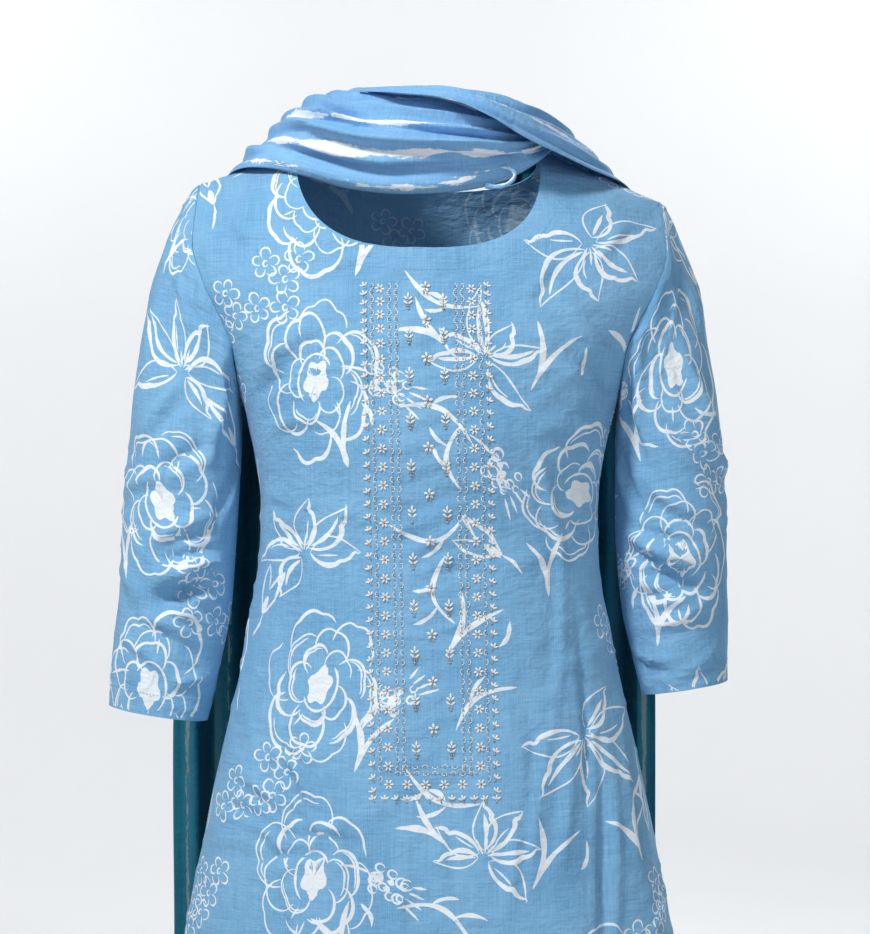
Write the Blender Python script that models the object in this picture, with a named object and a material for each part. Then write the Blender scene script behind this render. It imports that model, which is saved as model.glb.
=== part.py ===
"""A cotton kurti with three-quarter sleeves, filled out as if worn, and the dupatta wound round its neck.

Metres, +Z up. The front faces -Y, so the wearer's right is towards -X. The origin is on the neck's axis,
level with the high points of the shoulders. Every piece of cloth is a wall: its outer face comes from a
surface function, and its inner face lies one thickness of cloth inside.
"""

import math
from collections import namedtuple

import bpy
import numpy as np

# Cloth and seams
KURTI_CLOTH = 0.0016
DUPATTA_CLOTH = 0.0013
SEAM_GAP = 0.0003
ARMHOLE_GAP = 0.0012

# Kurti: levels, shoulders and the squareness of its level sections
HEM_Z = -1.10
ARMPIT_Z = -0.2175
SHOULDER_Z = 0.0
SHOULDER_SLOPE = {"right": 0.36, "left": 0.42}
SHOULDER_TIP = 0.200
SHOULDER_ROUND = 0.090
SECTION_POWER = 2.3

# Neckline: half its width, the x of its middle at the shoulders and at its bottom, its drop, and its
# curve's power
NECK_HALF_WIDTH = 0.105
NECK_MIDDLE = -0.011
NECK_BOTTOM_MIDDLE = -0.004
NECK_DROP = {"front": 0.092, "back": 0.030}
NECK_POWER = 2.8
NECK_SHARE = 0.5
NECK_CORNER_EASE = 1.4

# How the rows above the armpit bunch towards the neckline: a power for the middle columns and one for the
# side columns, and the share of the panel's half width where the change starts and over which it runs. The
# armhole's cut pulls the columns from PULL_FROM outwards.
ROW_POWER_MIDDLE = 1.3
ROW_POWER_SIDE = 2.0
ROW_POWER_FROM = 0.25
ROW_POWER_OVER = 0.3
PULL_FROM = 0.3

# Mesh rows and columns
PANEL_COLUMNS = 28
UPPER_ROWS = 10
LOWER_ROWS = 14
CAP_ROWS = 6
ARM_ROWS = 9
COWL_ROW_LENGTH = 0.020
COWL_COLUMNS = 14
CROSS_COLUMNS = 9
TAIL_ROW_LENGTH = 0.072
TAIL_COLUMNS = 30

# Looks of the cloth
KURTI_BLUE = (0.18, 0.40, 0.68, 1.0)
DUPATTA_BLUE = (0.14, 0.34, 0.60, 1.0)
CLOTH_ROUGHNESS = 0.85

Section = namedtuple("Section", "z half_width front back middle")
TORSO = [
    Section(0.010, 0.215, 0.074, 0.069, 0.010),
    Section(-0.050, 0.215, 0.090, 0.082, 0.010),
    Section(-0.085, 0.225, 0.097, 0.087, 0.009),
    Section(-0.120, 0.222, 0.102, 0.090, 0.007),
    Section(-0.150, 0.200, 0.107, 0.092, 0.005),
    Section(-0.175, 0.182, 0.110, 0.092, 0.003),
    Section(-0.2175, 0.163, 0.112, 0.090, 0.002),
    Section(-0.245, 0.155, 0.112, 0.088, 0.000),
    Section(-0.305, 0.146, 0.105, 0.084, 0.000),
    Section(-0.350, 0.147, 0.101, 0.086, 0.000),
    Section(-0.430, 0.159, 0.104, 0.098, 0.000),
    Section(-0.530, 0.182, 0.115, 0.115, 0.000),
    Section(-0.625, 0.201, 0.127, 0.130, 0.000),
    Section(-0.800, 0.234, 0.150, 0.155, 0.000),
    Section(-0.950, 0.259, 0.168, 0.174, 0.000),
    Section(-1.100, 0.283, 0.186, 0.192, 0.000),
]

# The armhole's edge from the shoulder's tip to the armpit: share of its height, and distance from the
# middle
ArmholeEdge = namedtuple("ArmholeEdge", "share x")
ARMHOLE = [
    ArmholeEdge(0.00, 0.200),
    ArmholeEdge(0.27, 0.203),
    ArmholeEdge(0.46, 0.193),
    ArmholeEdge(0.63, 0.178),
    ArmholeEdge(0.77, 0.168),
    ArmholeEdge(1.00, 0.163),
]

# Folds of the skirt: angle from the centre front towards +X, half width in degrees, rise at the hem, and
# level where each one starts
SkirtFold = namedtuple("SkirtFold", "angle width rise top")
SKIRT_FOLDS = [
    SkirtFold(-74, 11, 0.010, -0.46),
    SkirtFold(-50, 10, -0.012, -0.50),
    SkirtFold(-28, 11, 0.010, -0.56),
    SkirtFold(-6, 11, -0.008, -0.62),
    SkirtFold(14, 10, 0.009, -0.58),
    SkirtFold(32, 8, 0.009, -0.46),
    SkirtFold(46, 8, -0.015, -0.42),
    SkirtFold(64, 9, 0.013, -0.44),
    SkirtFold(88, 9, -0.006, -0.52),
    SkirtFold(110, 10, 0.011, -0.50),
    SkirtFold(133, 10, -0.010, -0.54),
    SkirtFold(156, 10, 0.010, -0.58),
    SkirtFold(180, 10, -0.010, -0.60),
    SkirtFold(-156, 10, 0.011, -0.56),
    SkirtFold(-134, 9, -0.011, -0.52),
    SkirtFold(-112, 9, 0.011, -0.50),
    SkirtFold(-92, 8, -0.006, -0.50),
]

# Each sleeve below its cap: level of a ring's middle, its place, and its half width and half depth
Arm = namedtuple("Arm", "z centre_x centre_y radius_x radius_y")
SLEEVES = {
    "right": [
        Arm(-0.262, 0.2125, 0.004, 0.0485, 0.0540),
        Arm(-0.330, 0.2170, 0.003, 0.0490, 0.0530),
        Arm(-0.390, 0.2205, 0.000, 0.0485, 0.0500),
        Arm(-0.447, 0.2280, -0.005, 0.0450, 0.0470),
        Arm(-0.4885, 0.2335, -0.009, 0.0415, 0.0440),
    ],
    "left": [
        Arm(-0.262, 0.2090, 0.012, 0.0465, 0.0540),
        Arm(-0.330, 0.2110, 0.018, 0.0480, 0.0530),
        Arm(-0.390, 0.2150, 0.021, 0.0465, 0.0500),
        Arm(-0.440, 0.2205, 0.023, 0.0410, 0.0460),
        Arm(-0.4685, 0.2240, 0.024, 0.0375, 0.0430),
    ],
}
CUFF_TILT = math.tan(math.radians(9.0))

# A sleeve's cap leaves the armhole outwards, most at the shoulder, forwards on its front half and back on
# its back half, and downwards, least at the shoulder. It comes into the arm leaning out by ARM_LEAN.
CAP_PULL = {"right": 0.62, "left": 0.42}
CAP_OUT = 0.10
CAP_OUT_AT_TOP = 0.80
CAP_OUT_POWER = 0.7
CAP_FORWARD = 0.22
CAP_DOWN = 1.0
CAP_DOWN_AT_TOP = 0.7
ARM_PULL = 0.90
ARM_LEAN = 0.075

# Folds across each sleeve: turn round the arm from its outer side through its front, level, half width of
# turn and of level, and rise
SleeveFold = namedtuple("SleeveFold", "turn z turn_width z_width rise")
SLEEVE_FOLDS = [
    SleeveFold(0.36, -0.245, 0.10, 0.018, 0.0035),
    SleeveFold(0.38, -0.300, 0.12, 0.016, -0.0035),
    SleeveFold(0.33, -0.350, 0.13, 0.016, 0.0040),
    SleeveFold(0.30, -0.395, 0.12, 0.015, -0.0035),
    SleeveFold(0.68, -0.350, 0.12, 0.017, 0.0035),
]

# The dupatta's sections, in order along the cloth: its edge next to the neck, the point it bulges towards,
# its other edge, and how high its pleats stand. Stretches that meet share their section there.
Band = namedtuple("Band", "inner bulge outer pleat")
TAIL_RIGHT = [
    Band((-0.040, 0.202, -0.895), (-0.138, 0.202, -0.890), (-0.240, 0.200, -0.885), 0.014),
    Band((-0.038, 0.176, -0.700), (-0.136, 0.178, -0.700), (-0.239, 0.176, -0.700), 0.013),
    Band((-0.037, 0.148, -0.500), (-0.135, 0.149, -0.500), (-0.237, 0.147, -0.500), 0.012),
    Band((-0.038, 0.128, -0.320), (-0.132, 0.130, -0.320), (-0.230, 0.128, -0.320), 0.011),
    Band((-0.042, 0.120, -0.180), (-0.128, 0.124, -0.178), (-0.216, 0.114, -0.180), 0.009),
    Band((-0.050, 0.106, -0.075), (-0.124, 0.120, -0.062), (-0.200, 0.094, -0.095), 0.006),
    Band((-0.060, 0.074, 0.006), (-0.128, 0.096, 0.014), (-0.184, 0.058, -0.036), 0.004),
]
COWL = [
    Band((-0.060, 0.074, 0.006), (-0.128, 0.096, 0.014), (-0.184, 0.058, -0.036), 0.004),
    Band((-0.068, 0.038, 0.034), (-0.134, 0.046, 0.034), (-0.175, 0.018, -0.0217), 0.003),
    Band((-0.068, 0.004, 0.046), (-0.134, -0.006, 0.042), (-0.160, -0.016, -0.0182), 0.003),
    Band((-0.062, -0.024, 0.048), (-0.118, -0.056, 0.042), (-0.136, -0.034, -0.0197), 0.003),
    Band((-0.048, -0.045, 0.044), (-0.094, -0.100, 0.035), (-0.108, -0.048, -0.026), 0.003),
    Band((-0.030, -0.055, 0.040), (-0.058, -0.130, 0.028), (-0.070, -0.068, -0.039), 0.003),
    Band((-0.008, -0.059, 0.037), (-0.016, -0.142, 0.022), (-0.026, -0.080, -0.045), 0.003),
    Band((0.014, -0.058, 0.034), (0.026, -0.140, 0.016), (0.026, -0.080, -0.043), 0.003),
    Band((0.034, -0.050, 0.029), (0.064, -0.122, 0.009), (0.062, -0.070, -0.033), 0.003),
    Band((0.048, -0.036, 0.023), (0.088, -0.090, 0.004), (0.090, -0.054, -0.018), 0.002),
    Band((0.056, -0.016, 0.018), (0.100, -0.054, 0.003), (0.108, -0.032, -0.002), 0.001),
    Band((0.060, 0.006, 0.014), (0.102, -0.018, 0.003), (0.118, -0.004, 0.001), 0.001),
]
CROSS = [
    Band((-0.052, -0.050, 0.0475), (-0.056, -0.062, 0.0460), (-0.060, -0.070, 0.0420), 0.0000),
    Band((-0.022, -0.063, 0.0455), (-0.026, -0.086, 0.0440), (-0.028, -0.096, 0.0360), 0.0008),
    Band((0.008, -0.065, 0.0440), (0.012, -0.100, 0.0420), (0.018, -0.112, 0.0290), 0.0015),
    Band((0.034, -0.058, 0.0420), (0.046, -0.104, 0.0390), (0.050, -0.112, 0.0150), 0.0020),
    Band((0.052, -0.044, 0.0400), (0.076, -0.096, 0.0360), (0.078, -0.096, 0.0000), 0.0025),
    Band((0.062, -0.024, 0.0380), (0.102, -0.072, 0.0310), (0.106, -0.074, -0.0110), 0.0030),
    Band((0.068, 0.000, 0.0340), (0.124, -0.036, 0.0220), (0.136, -0.044, -0.0220), 0.0030),
    Band((0.068, 0.030, 0.0260), (0.134, 0.010, 0.0150), (0.164, -0.008, -0.0290), 0.0030),
    Band((0.060, 0.074, 0.0040), (0.128, 0.094, 0.0060), (0.184, 0.054, -0.0450), 0.0040),
]
TAIL_LEFT = [
    Band((0.060, 0.074, 0.004), (0.128, 0.094, 0.006), (0.184, 0.054, -0.045), 0.004),
    Band((0.050, 0.106, -0.075), (0.120, 0.120, -0.062), (0.192, 0.094, -0.098), 0.006),
    Band((0.042, 0.120, -0.180), (0.120, 0.124, -0.178), (0.200, 0.116, -0.180), 0.009),
    Band((0.036, 0.128, -0.320), (0.120, 0.130, -0.320), (0.206, 0.130, -0.320), 0.011),
    Band((0.034, 0.148, -0.500), (0.121, 0.149, -0.500), (0.209, 0.147, -0.500), 0.012),
    Band((0.034, 0.176, -0.700), (0.122, 0.178, -0.700), (0.211, 0.176, -0.700), 0.013),
    Band((0.036, 0.198, -0.862), (0.124, 0.200, -0.868), (0.212, 0.196, -0.872), 0.014),
]

# Pleats across the dupatta: where each crest lies, as a share of the width from the neck edge, and how high
# it stands
Pleat = namedtuple("Pleat", "crest height")
PLEATS = [
    Pleat(0.03, 0.8),
    Pleat(0.17, 1.1),
    Pleat(0.33, 0.7),
    Pleat(0.50, 1.2),
    Pleat(0.65, 0.9),
    Pleat(0.83, 1.1),
    Pleat(0.97, 0.7),
]


def clear_scene():
    for obj in list(bpy.data.objects):
        bpy.data.objects.remove(obj)


def hermite(start, leave, end, arrive, part):
    """A cubic from start to end, part running from 0 to 1, with its slopes at both."""
    return (
        start * (1 + 2 * part) * (1 - part) ** 2
        + leave * part * (1 - part) ** 2
        + end * part**2 * (3 - 2 * part)
        + arrive * part**2 * (part - 1)
    )


def curve_through(knots, values, slopes, at):
    at = np.clip(np.asarray(at, float), knots[0], knots[-1])
    index = np.clip(np.searchsorted(knots, at, side="right") - 1, 0, len(knots) - 2)
    width = np.diff(knots)[index][..., None]
    part = (at - knots[index])[..., None] / width
    return hermite(values[index], slopes[index] * width, values[index + 1], slopes[index + 1] * width, part)


def smooth_curve(knots, values, at):
    """A curve with no overshoot through the knots, which must increase. values may hold several columns."""
    knots = np.asarray(knots, float)
    values = np.asarray(values, float).reshape(len(knots), -1)
    slope = np.diff(values, axis=0) / np.diff(knots)[:, None]
    same_way = slope[1:] * slope[:-1] > 0
    total = np.where(same_way, slope[1:] + slope[:-1], 1.0)
    inner = np.where(same_way, 2 * slope[1:] * slope[:-1] / total, 0.0)
    return curve_through(knots, values, np.vstack([slope[:1], inner, slope[-1:]]), at)


def rounded_path(knots, values, at):
    """A round path through the values, for one that may turn back on itself."""
    knots = np.asarray(knots, float)
    values = np.asarray(values, float).reshape(len(knots), -1)
    return curve_through(knots, values, np.gradient(values, knots, axis=0), at)


def smooth_step(value):
    value = np.clip(value, 0.0, 1.0)
    return value * value * (3 - 2 * value)


def torso_sizes(z):
    """Half width, front depth, back depth and middle of the torso's section at z."""
    rows = sorted(TORSO, key=lambda row: row.z)
    sizes = smooth_curve([row.z for row in rows], [row[1:] for row in rows], z)
    return np.moveaxis(sizes, -1, 0)


def shoulder_line(x):
    """Level of the shoulder seam at x, also above the neck opening."""
    out = np.maximum(np.abs(x - NECK_MIDDLE) - NECK_HALF_WIDTH, 0.0)
    return SHOULDER_Z - np.where(x < NECK_MIDDLE, SHOULDER_SLOPE["right"], SHOULDER_SLOPE["left"]) * out


def skirt_rise(angle, z):
    """How far the folds stand out at an angle in degrees from the centre front."""
    rise = np.zeros(np.broadcast(angle, z).shape)
    for fold in SKIRT_FOLDS:
        off = (angle - fold.angle + 180.0) % 360.0 - 180.0
        grown = smooth_step((fold.top - z) / (fold.top - HEM_Z))
        rise += fold.rise * grown * np.exp(-((off / fold.width) ** 2))
    return rise


def section_share(angle):
    """Shares of half width and of depth at an angle from the centre, on a rounded oblong."""
    across = np.sign(angle) * np.abs(np.sin(angle)) ** (2 / SECTION_POWER)
    return across, np.abs(np.cos(angle)) ** (2 / SECTION_POWER)


def facing(side):
    return -1.0 if side == "front" else 1.0


def torso_point(side, x, z):
    """A point of the front or back panel above the armpit, from its x and level."""
    half_width, front, back, middle = torso_sizes(z)
    depth = front if side == "front" else back
    share = np.clip(np.abs(x) / half_width, 0.0, 1.0)
    across = (1 - share**SECTION_POWER) ** (1 / SECTION_POWER)
    below = np.clip((shoulder_line(x) - z) / SHOULDER_ROUND, 0.0, 1.0)
    round_over = np.sqrt(1 - (1 - below) ** 2)
    return np.stack([x, middle + facing(side) * depth * across * round_over, z], axis=-1)


def neckline(side, share):
    """x and level of the neckline, share running from -1 at one shoulder to 1 at the other."""
    turn = np.sign(share) * (1 - (1 - np.abs(share)) ** NECK_CORNER_EASE) * math.pi / 2
    x = np.sign(share) * np.abs(np.sin(turn)) ** (2 / NECK_POWER)
    drop = np.abs(np.cos(turn)) ** (2 / NECK_POWER)
    middle = NECK_MIDDLE + (NECK_BOTTOM_MIDDLE - NECK_MIDDLE) * drop
    return middle + NECK_HALF_WIDTH * x, SHOULDER_Z - NECK_DROP[side] * drop


def panel_top(side, column):
    """x and level of a panel's top edge: neckline in the middle, shoulder seams outside it."""
    neck_x, neck_z = neckline(side, np.clip(column / NECK_SHARE, -1.0, 1.0))
    along = (np.abs(column) - NECK_SHARE) / (1 - NECK_SHARE)
    corner_x = NECK_MIDDLE + np.sign(column) * NECK_HALF_WIDTH
    seam_x = corner_x + (np.sign(column) * SHOULDER_TIP - corner_x) * along
    on_neck = np.abs(column) <= NECK_SHARE
    return np.where(on_neck, neck_x, seam_x), np.where(on_neck, neck_z, shoulder_line(seam_x))


def upper_panel(side, column, row):
    """The panel above the armpit. column runs from -1 to 1 and row from 0 at the top to 1 at the armpit."""
    top_x, top_z = panel_top(side, column)
    size = np.abs(column)
    side_share = smooth_step((size - ROW_POWER_FROM) / ROW_POWER_OVER)
    down = row ** (ROW_POWER_MIDDLE + (ROW_POWER_SIDE - ROW_POWER_MIDDLE) * side_share)
    z = top_z + (ARMPIT_Z - top_z) * down
    armpit_half_width = torso_sizes(ARMPIT_Z)[0]
    armpit_x = armpit_half_width * section_share(column * math.pi / 2)[0]
    edge_x = smooth_curve([edge.share for edge in ARMHOLE], [edge.x for edge in ARMHOLE], down)[..., 0]
    plain_x = SHOULDER_TIP + (armpit_half_width - SHOULDER_TIP) * down
    pull = np.sign(column) * np.clip((size - PULL_FROM) / (1 - PULL_FROM), 0.0, 1.0) ** 2
    return torso_point(side, top_x + (armpit_x - top_x) * down + pull * (edge_x - plain_x), z)


def lower_panel(side, column, row):
    """The panel below the armpit, row running from 0 there to 1 at the hem."""
    z = ARMPIT_Z + (HEM_Z - ARMPIT_Z) * row + 0.0 * column
    half_width, front, back, middle = torso_sizes(z)
    across, along = section_share(column * math.pi / 2)
    x = half_width * across
    y = facing(side) * (front if side == "front" else back) * along
    degrees = column * 90.0 if side == "front" else 180.0 - column * 90.0
    swell = 1 + skirt_rise(degrees, z) / np.hypot(x, y)
    return np.stack([x * swell, middle + y * swell, z], axis=-1)


def panel_points(side):
    """The outer face of the front or back panel, rows running from the top to the hem."""
    columns = np.linspace(-1.0, 1.0, PANEL_COLUMNS + 1)[None, :]
    upper = upper_panel(side, columns, np.linspace(0.0, 1.0, UPPER_ROWS + 1)[:, None])
    lower = lower_panel(side, columns, np.linspace(0.0, 1.0, LOWER_ROWS + 1)[1:, None])
    points = np.concatenate([upper, lower])
    points[..., 1] += facing(side) * SEAM_GAP / 2
    return points if side == "front" else points[:, ::-1]


def panel_normals(points):
    """The panel's normals, level with the seam plane along the side and shoulder seams."""
    normals = grid_normals(points)
    normals[UPPER_ROWS:, [0, -1], 1] = 0.0
    shoulder = round(PANEL_COLUMNS * (1 - NECK_SHARE) / 2) + 1
    normals[0, :shoulder, 1] = 0.0
    normals[0, -shoulder:, 1] = 0.0
    return normals / np.linalg.norm(normals, axis=-1, keepdims=True)


def arm_ring(side, z, turn):
    """A ring of the sleeve, turned to the +X side. turn runs from 0 outside, through the front, to 1."""
    rows = sorted(SLEEVES[side], key=lambda row: row.z)
    sizes = smooth_curve([row.z for row in rows], [row[1:] for row in rows], z)
    centre_x, centre_y, radius_x, radius_y = np.moveaxis(sizes, -1, 0)
    out = radius_x * np.cos(2 * math.pi * turn)
    y = centre_y - radius_y * np.sin(2 * math.pi * turn)
    return np.stack([centre_x + out, y, z + CUFF_TILT * out], axis=-1)


def armhole_ring(side, turn):
    """The armhole's edge, turned to the +X side, from the shoulder down the front and up the back."""
    column = np.full_like(turn, 1.0 if side == "left" else -1.0)
    front = upper_panel("front", column, np.clip(2 * turn, 0.0, 1.0))
    back = upper_panel("back", column, np.clip(2 - 2 * turn, 0.0, 1.0))
    ring = np.where((turn <= 0.5)[..., None], front, back)
    ring[..., 0] = np.abs(ring[..., 0]) + ARMHOLE_GAP
    return ring


def sleeve_cap(side, part, turn):
    """From the armhole, part 0, to the ring at the top of the arm, part 1."""
    start = armhole_ring(side, turn)
    end = arm_ring(side, SLEEVES[side][0].z + 0.0 * turn, turn)
    apart = np.linalg.norm(end - start, axis=-1, keepdims=True)
    top = (1 + np.cos(2 * math.pi * turn)) / 2
    out = CAP_OUT + (CAP_OUT_AT_TOP - CAP_OUT) * top**CAP_OUT_POWER
    forward = CAP_FORWARD * np.sin(2 * math.pi * turn)
    fall = CAP_DOWN + (CAP_DOWN_AT_TOP - CAP_DOWN) * top
    leave = np.stack([out, -forward, -fall], axis=-1)
    leave *= CAP_PULL[side] * apart / np.linalg.norm(leave, axis=-1, keepdims=True)
    arrive = np.array([ARM_LEAN, 0.0, -1.0]) * ARM_PULL * apart
    return hermite(start, leave, end, arrive, part[..., None])


def sleeve_rise(turn, z):
    rise = np.zeros(np.broadcast(turn, z).shape)
    for fold in SLEEVE_FOLDS:
        off = (turn - fold.turn + 0.5) % 1.0 - 0.5
        rise += fold.rise * np.exp(-((off / fold.turn_width) ** 2) - ((z - fold.z) / fold.z_width) ** 2)
    return rise


def sleeve_points(side):
    """The sleeve's outer face, rows running from the armhole to the cuff."""
    count = 2 * UPPER_ROWS
    turn = (-np.arange(count) / count % 1.0)[None, :]
    cap_rows = np.linspace(0.0, 1.0, CAP_ROWS + 1)[:, None]
    cap = sleeve_cap(side, cap_rows + 0.0 * turn, turn + 0.0 * cap_rows)
    levels = np.linspace(SLEEVES[side][0].z, SLEEVES[side][-1].z, ARM_ROWS + 1)[1:, None]
    arm = arm_ring(side, levels + 0.0 * turn, turn + 0.0 * levels)
    points = np.concatenate([cap, arm])
    faded = smooth_step(np.arange(len(points)) / CAP_ROWS)[:, None]
    rise = faded * sleeve_rise(turn, points[..., 2])
    points = points + grid_normals(points, closed=True) * rise[..., None]
    if side == "right":
        points = points[:, ::-1] * np.array([-1.0, 1.0, 1.0])
    return points


def pleat_wave(across):
    """Each pleat's height on its crest, and the same depth between two crests."""
    crests = [pleat.crest for pleat in PLEATS]
    heights = np.interp(across, crests, [pleat.height for pleat in PLEATS])
    return heights * np.cos(2 * math.pi * np.interp(across, crests, np.arange(len(crests))))


def seam_across(row):
    """Unit normal of the plane that a band's row of points lies in."""
    middle = row[len(row) // 2]
    across = np.cross(row[0] - middle, row[-1] - middle)
    return across / np.linalg.norm(across)


def band_wall(bands, columns, row_length, seam):
    """A stretch's outer face and its normals. Rows run along the cloth, columns from its outer edge to its
    neck edge. seam is the row that meets the next stretch: it is set back half a gap, with its rim in its own
    plane."""
    middle = np.array([band.bulge for band in bands])
    along = np.concatenate([[0.0], np.cumsum(np.linalg.norm(np.diff(middle, axis=0), axis=1))])
    at = np.linspace(0.0, along[-1], round(along[-1] / row_length) + 1)
    inner, bulge, outer = [
        rounded_path(along, [getattr(band, edge) for band in bands], at)[:, None, :]
        for edge in ("inner", "bulge", "outer")
    ]
    pleat = smooth_curve(along, [band.pleat for band in bands], at)
    across = np.linspace(1.0, 0.0, columns + 1)[None, :]
    share = across[..., None]
    smooth = inner * (1 - share) ** 2 + bulge * 2 * share * (1 - share) + outer * share**2
    plane = seam_across(smooth[seam])
    lift = (pleat * pleat_wave(across))[..., None]
    points = smooth + level_seam(grid_normals(smooth), seam, plane) * lift
    normals = level_seam(grid_normals(points), seam, plane)
    inward = smooth[1 if seam == 0 else -2] - smooth[seam]
    points[seam] += np.sign(inward @ plane)[:, None] * plane * SEAM_GAP / 2
    return points, normals


def level_seam(normals, seam, plane):
    """The same normals, those of the seam's row turned into its plane."""
    row = normals[seam] - (normals[seam] @ plane)[:, None] * plane
    normals = normals.copy()
    normals[seam] = row / np.linalg.norm(row, axis=-1, keepdims=True)
    return normals


def grid_normals(points, closed=False):
    """Unit normals of a grid, pointing out where rows run down and columns anticlockwise seen from above."""
    down = np.gradient(points, axis=0)
    if closed:
        across = (np.roll(points, -1, axis=1) - np.roll(points, 1, axis=1)) / 2
    else:
        across = np.gradient(points, axis=1)
    normal = np.cross(down, across)
    return normal / np.maximum(np.linalg.norm(normal, axis=-1, keepdims=True), 1e-9)


def cloth_material(name, colour):
    material = bpy.data.materials.new(name)
    material.use_nodes = True
    shader = material.node_tree.nodes["Principled BSDF"]
    shader.inputs["Base Color"].default_value = colour
    shader.inputs["Roughness"].default_value = CLOTH_ROUGHNESS
    shader.inputs["Metallic"].default_value = 0.0
    return material


def wall_faces(rows, columns, closed):
    """Quads of a wall: outer face, inner face, and the rims between them."""

    def corner(row, column, layer):
        return layer * rows * columns + row * columns + column % columns

    across = columns if closed else columns - 1
    faces = []
    for row in range(rows - 1):
        for column in range(across):
            square = [(row, column), (row + 1, column), (row + 1, column + 1), (row, column + 1)]
            faces.append([corner(r, c, 0) for r, c in square])
            faces.append([corner(r, c, 1) for r, c in reversed(square)])
    rims = []
    for column in range(across):
        rims.append(((0, column + 1), (0, column)))
        rims.append(((rows - 1, column), (rows - 1, column + 1)))
    if not closed:
        for row in range(rows - 1):
            rims.append(((row, 0), (row + 1, 0)))
            rims.append(((row + 1, columns - 1), (row, columns - 1)))
    for start, end in rims:
        faces.append([corner(*end, 0), corner(*start, 0), corner(*start, 1), corner(*end, 1)])
    return faces


def cloth_wall(name, points, normals, thickness, material, parent, closed=False):
    """A closed wall between the grid of points and the same grid one thickness behind it."""
    inner = points - normals * thickness
    vertices = np.concatenate([points.reshape(-1, 3), inner.reshape(-1, 3)])
    mesh = bpy.data.meshes.new(name)
    mesh.from_pydata(vertices.tolist(), [], wall_faces(*points.shape[:2], closed))
    mesh.shade_smooth()
    mesh.set_sharp_from_angle(angle=math.radians(60))
    mesh.materials.append(material)
    wall = bpy.data.objects.new(name, mesh)
    bpy.context.scene.collection.objects.link(wall)
    wall.parent = parent


def build_kurti(parent):
    cotton = cloth_material("kurti_cotton", KURTI_BLUE)
    for side in ("front", "back"):
        points = panel_points(side)
        cloth_wall(f"kurti_{side}", points, panel_normals(points), KURTI_CLOTH, cotton, parent)
    for side in SLEEVES:
        points = sleeve_points(side)
        normals = grid_normals(points, closed=True)
        cloth_wall(f"sleeve_{side}", points, normals, KURTI_CLOTH, cotton, parent, closed=True)


def build_dupatta(parent):
    cotton = cloth_material("dupatta_cotton", DUPATTA_BLUE)
    stretches = {
        "dupatta_tail_right": band_wall(TAIL_RIGHT, TAIL_COLUMNS, TAIL_ROW_LENGTH, seam=-1),
        "dupatta_cowl": band_wall(COWL, COWL_COLUMNS, COWL_ROW_LENGTH, seam=0),
        "dupatta_cross": band_wall(CROSS, CROSS_COLUMNS, COWL_ROW_LENGTH, seam=-1),
        "dupatta_tail_left": band_wall(TAIL_LEFT, TAIL_COLUMNS, TAIL_ROW_LENGTH, seam=0),
    }
    for name, (points, normals) in stretches.items():
        cloth_wall(name, points, normals, DUPATTA_CLOTH, cotton, parent)


def main():
    clear_scene()
    held = bpy.data.objects.new("held_at_shoulders", None)
    bpy.context.scene.collection.objects.link(held)
    build_kurti(held)
    build_dupatta(held)


main()
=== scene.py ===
"""The looks of a cotton kurti and its dupatta, filled out as if worn: cloth as thin shells on the solids' own
form, with its print, embroidery, stitches and pale streaks, and the studio.

Metres, +Z up, in the part's frame: the front faces -Y and the wearer's right is towards -X.
"""

import math
import random
from collections import namedtuple

import bmesh
import bpy
import numpy as np
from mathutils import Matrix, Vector
from mathutils.geometry import delaunay_2d_cdt


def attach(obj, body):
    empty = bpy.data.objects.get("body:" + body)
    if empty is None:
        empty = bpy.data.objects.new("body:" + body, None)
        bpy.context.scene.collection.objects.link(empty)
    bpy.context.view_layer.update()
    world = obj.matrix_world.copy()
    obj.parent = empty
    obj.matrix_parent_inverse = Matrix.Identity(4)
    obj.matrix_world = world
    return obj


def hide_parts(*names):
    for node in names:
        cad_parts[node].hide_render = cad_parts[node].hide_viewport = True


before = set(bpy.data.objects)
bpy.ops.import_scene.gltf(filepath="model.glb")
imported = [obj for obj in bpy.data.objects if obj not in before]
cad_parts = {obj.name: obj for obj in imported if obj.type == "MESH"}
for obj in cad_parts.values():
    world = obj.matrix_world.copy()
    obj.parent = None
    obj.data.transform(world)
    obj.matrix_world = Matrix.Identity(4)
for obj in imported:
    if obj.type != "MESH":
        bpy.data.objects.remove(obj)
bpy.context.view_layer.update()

# Cloth and seams
KURTI_CLOTH = 0.0008
DUPATTA_CLOTH = 0.0006
SEAM_GAP = 0.0003
ARMHOLE_GAP = 0.0004

# Kurti: levels, shoulders and the squareness of its level sections
HEM_Z = -1.10
ARMPIT_Z = -0.2175
SHOULDER_Z = 0.0
SHOULDER_SLOPE = {"right": 0.36, "left": 0.42}
SHOULDER_TIP = 0.200
SHOULDER_ROUND = 0.090
SECTION_POWER = 2.3

# Neckline
NECK_HALF_WIDTH = 0.105
NECK_MIDDLE = -0.011
NECK_BOTTOM_MIDDLE = -0.004
NECK_DROP = {"front": 0.092, "back": 0.030}
NECK_POWER = 2.8
NECK_CORNER_EASE = 1.4

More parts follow.
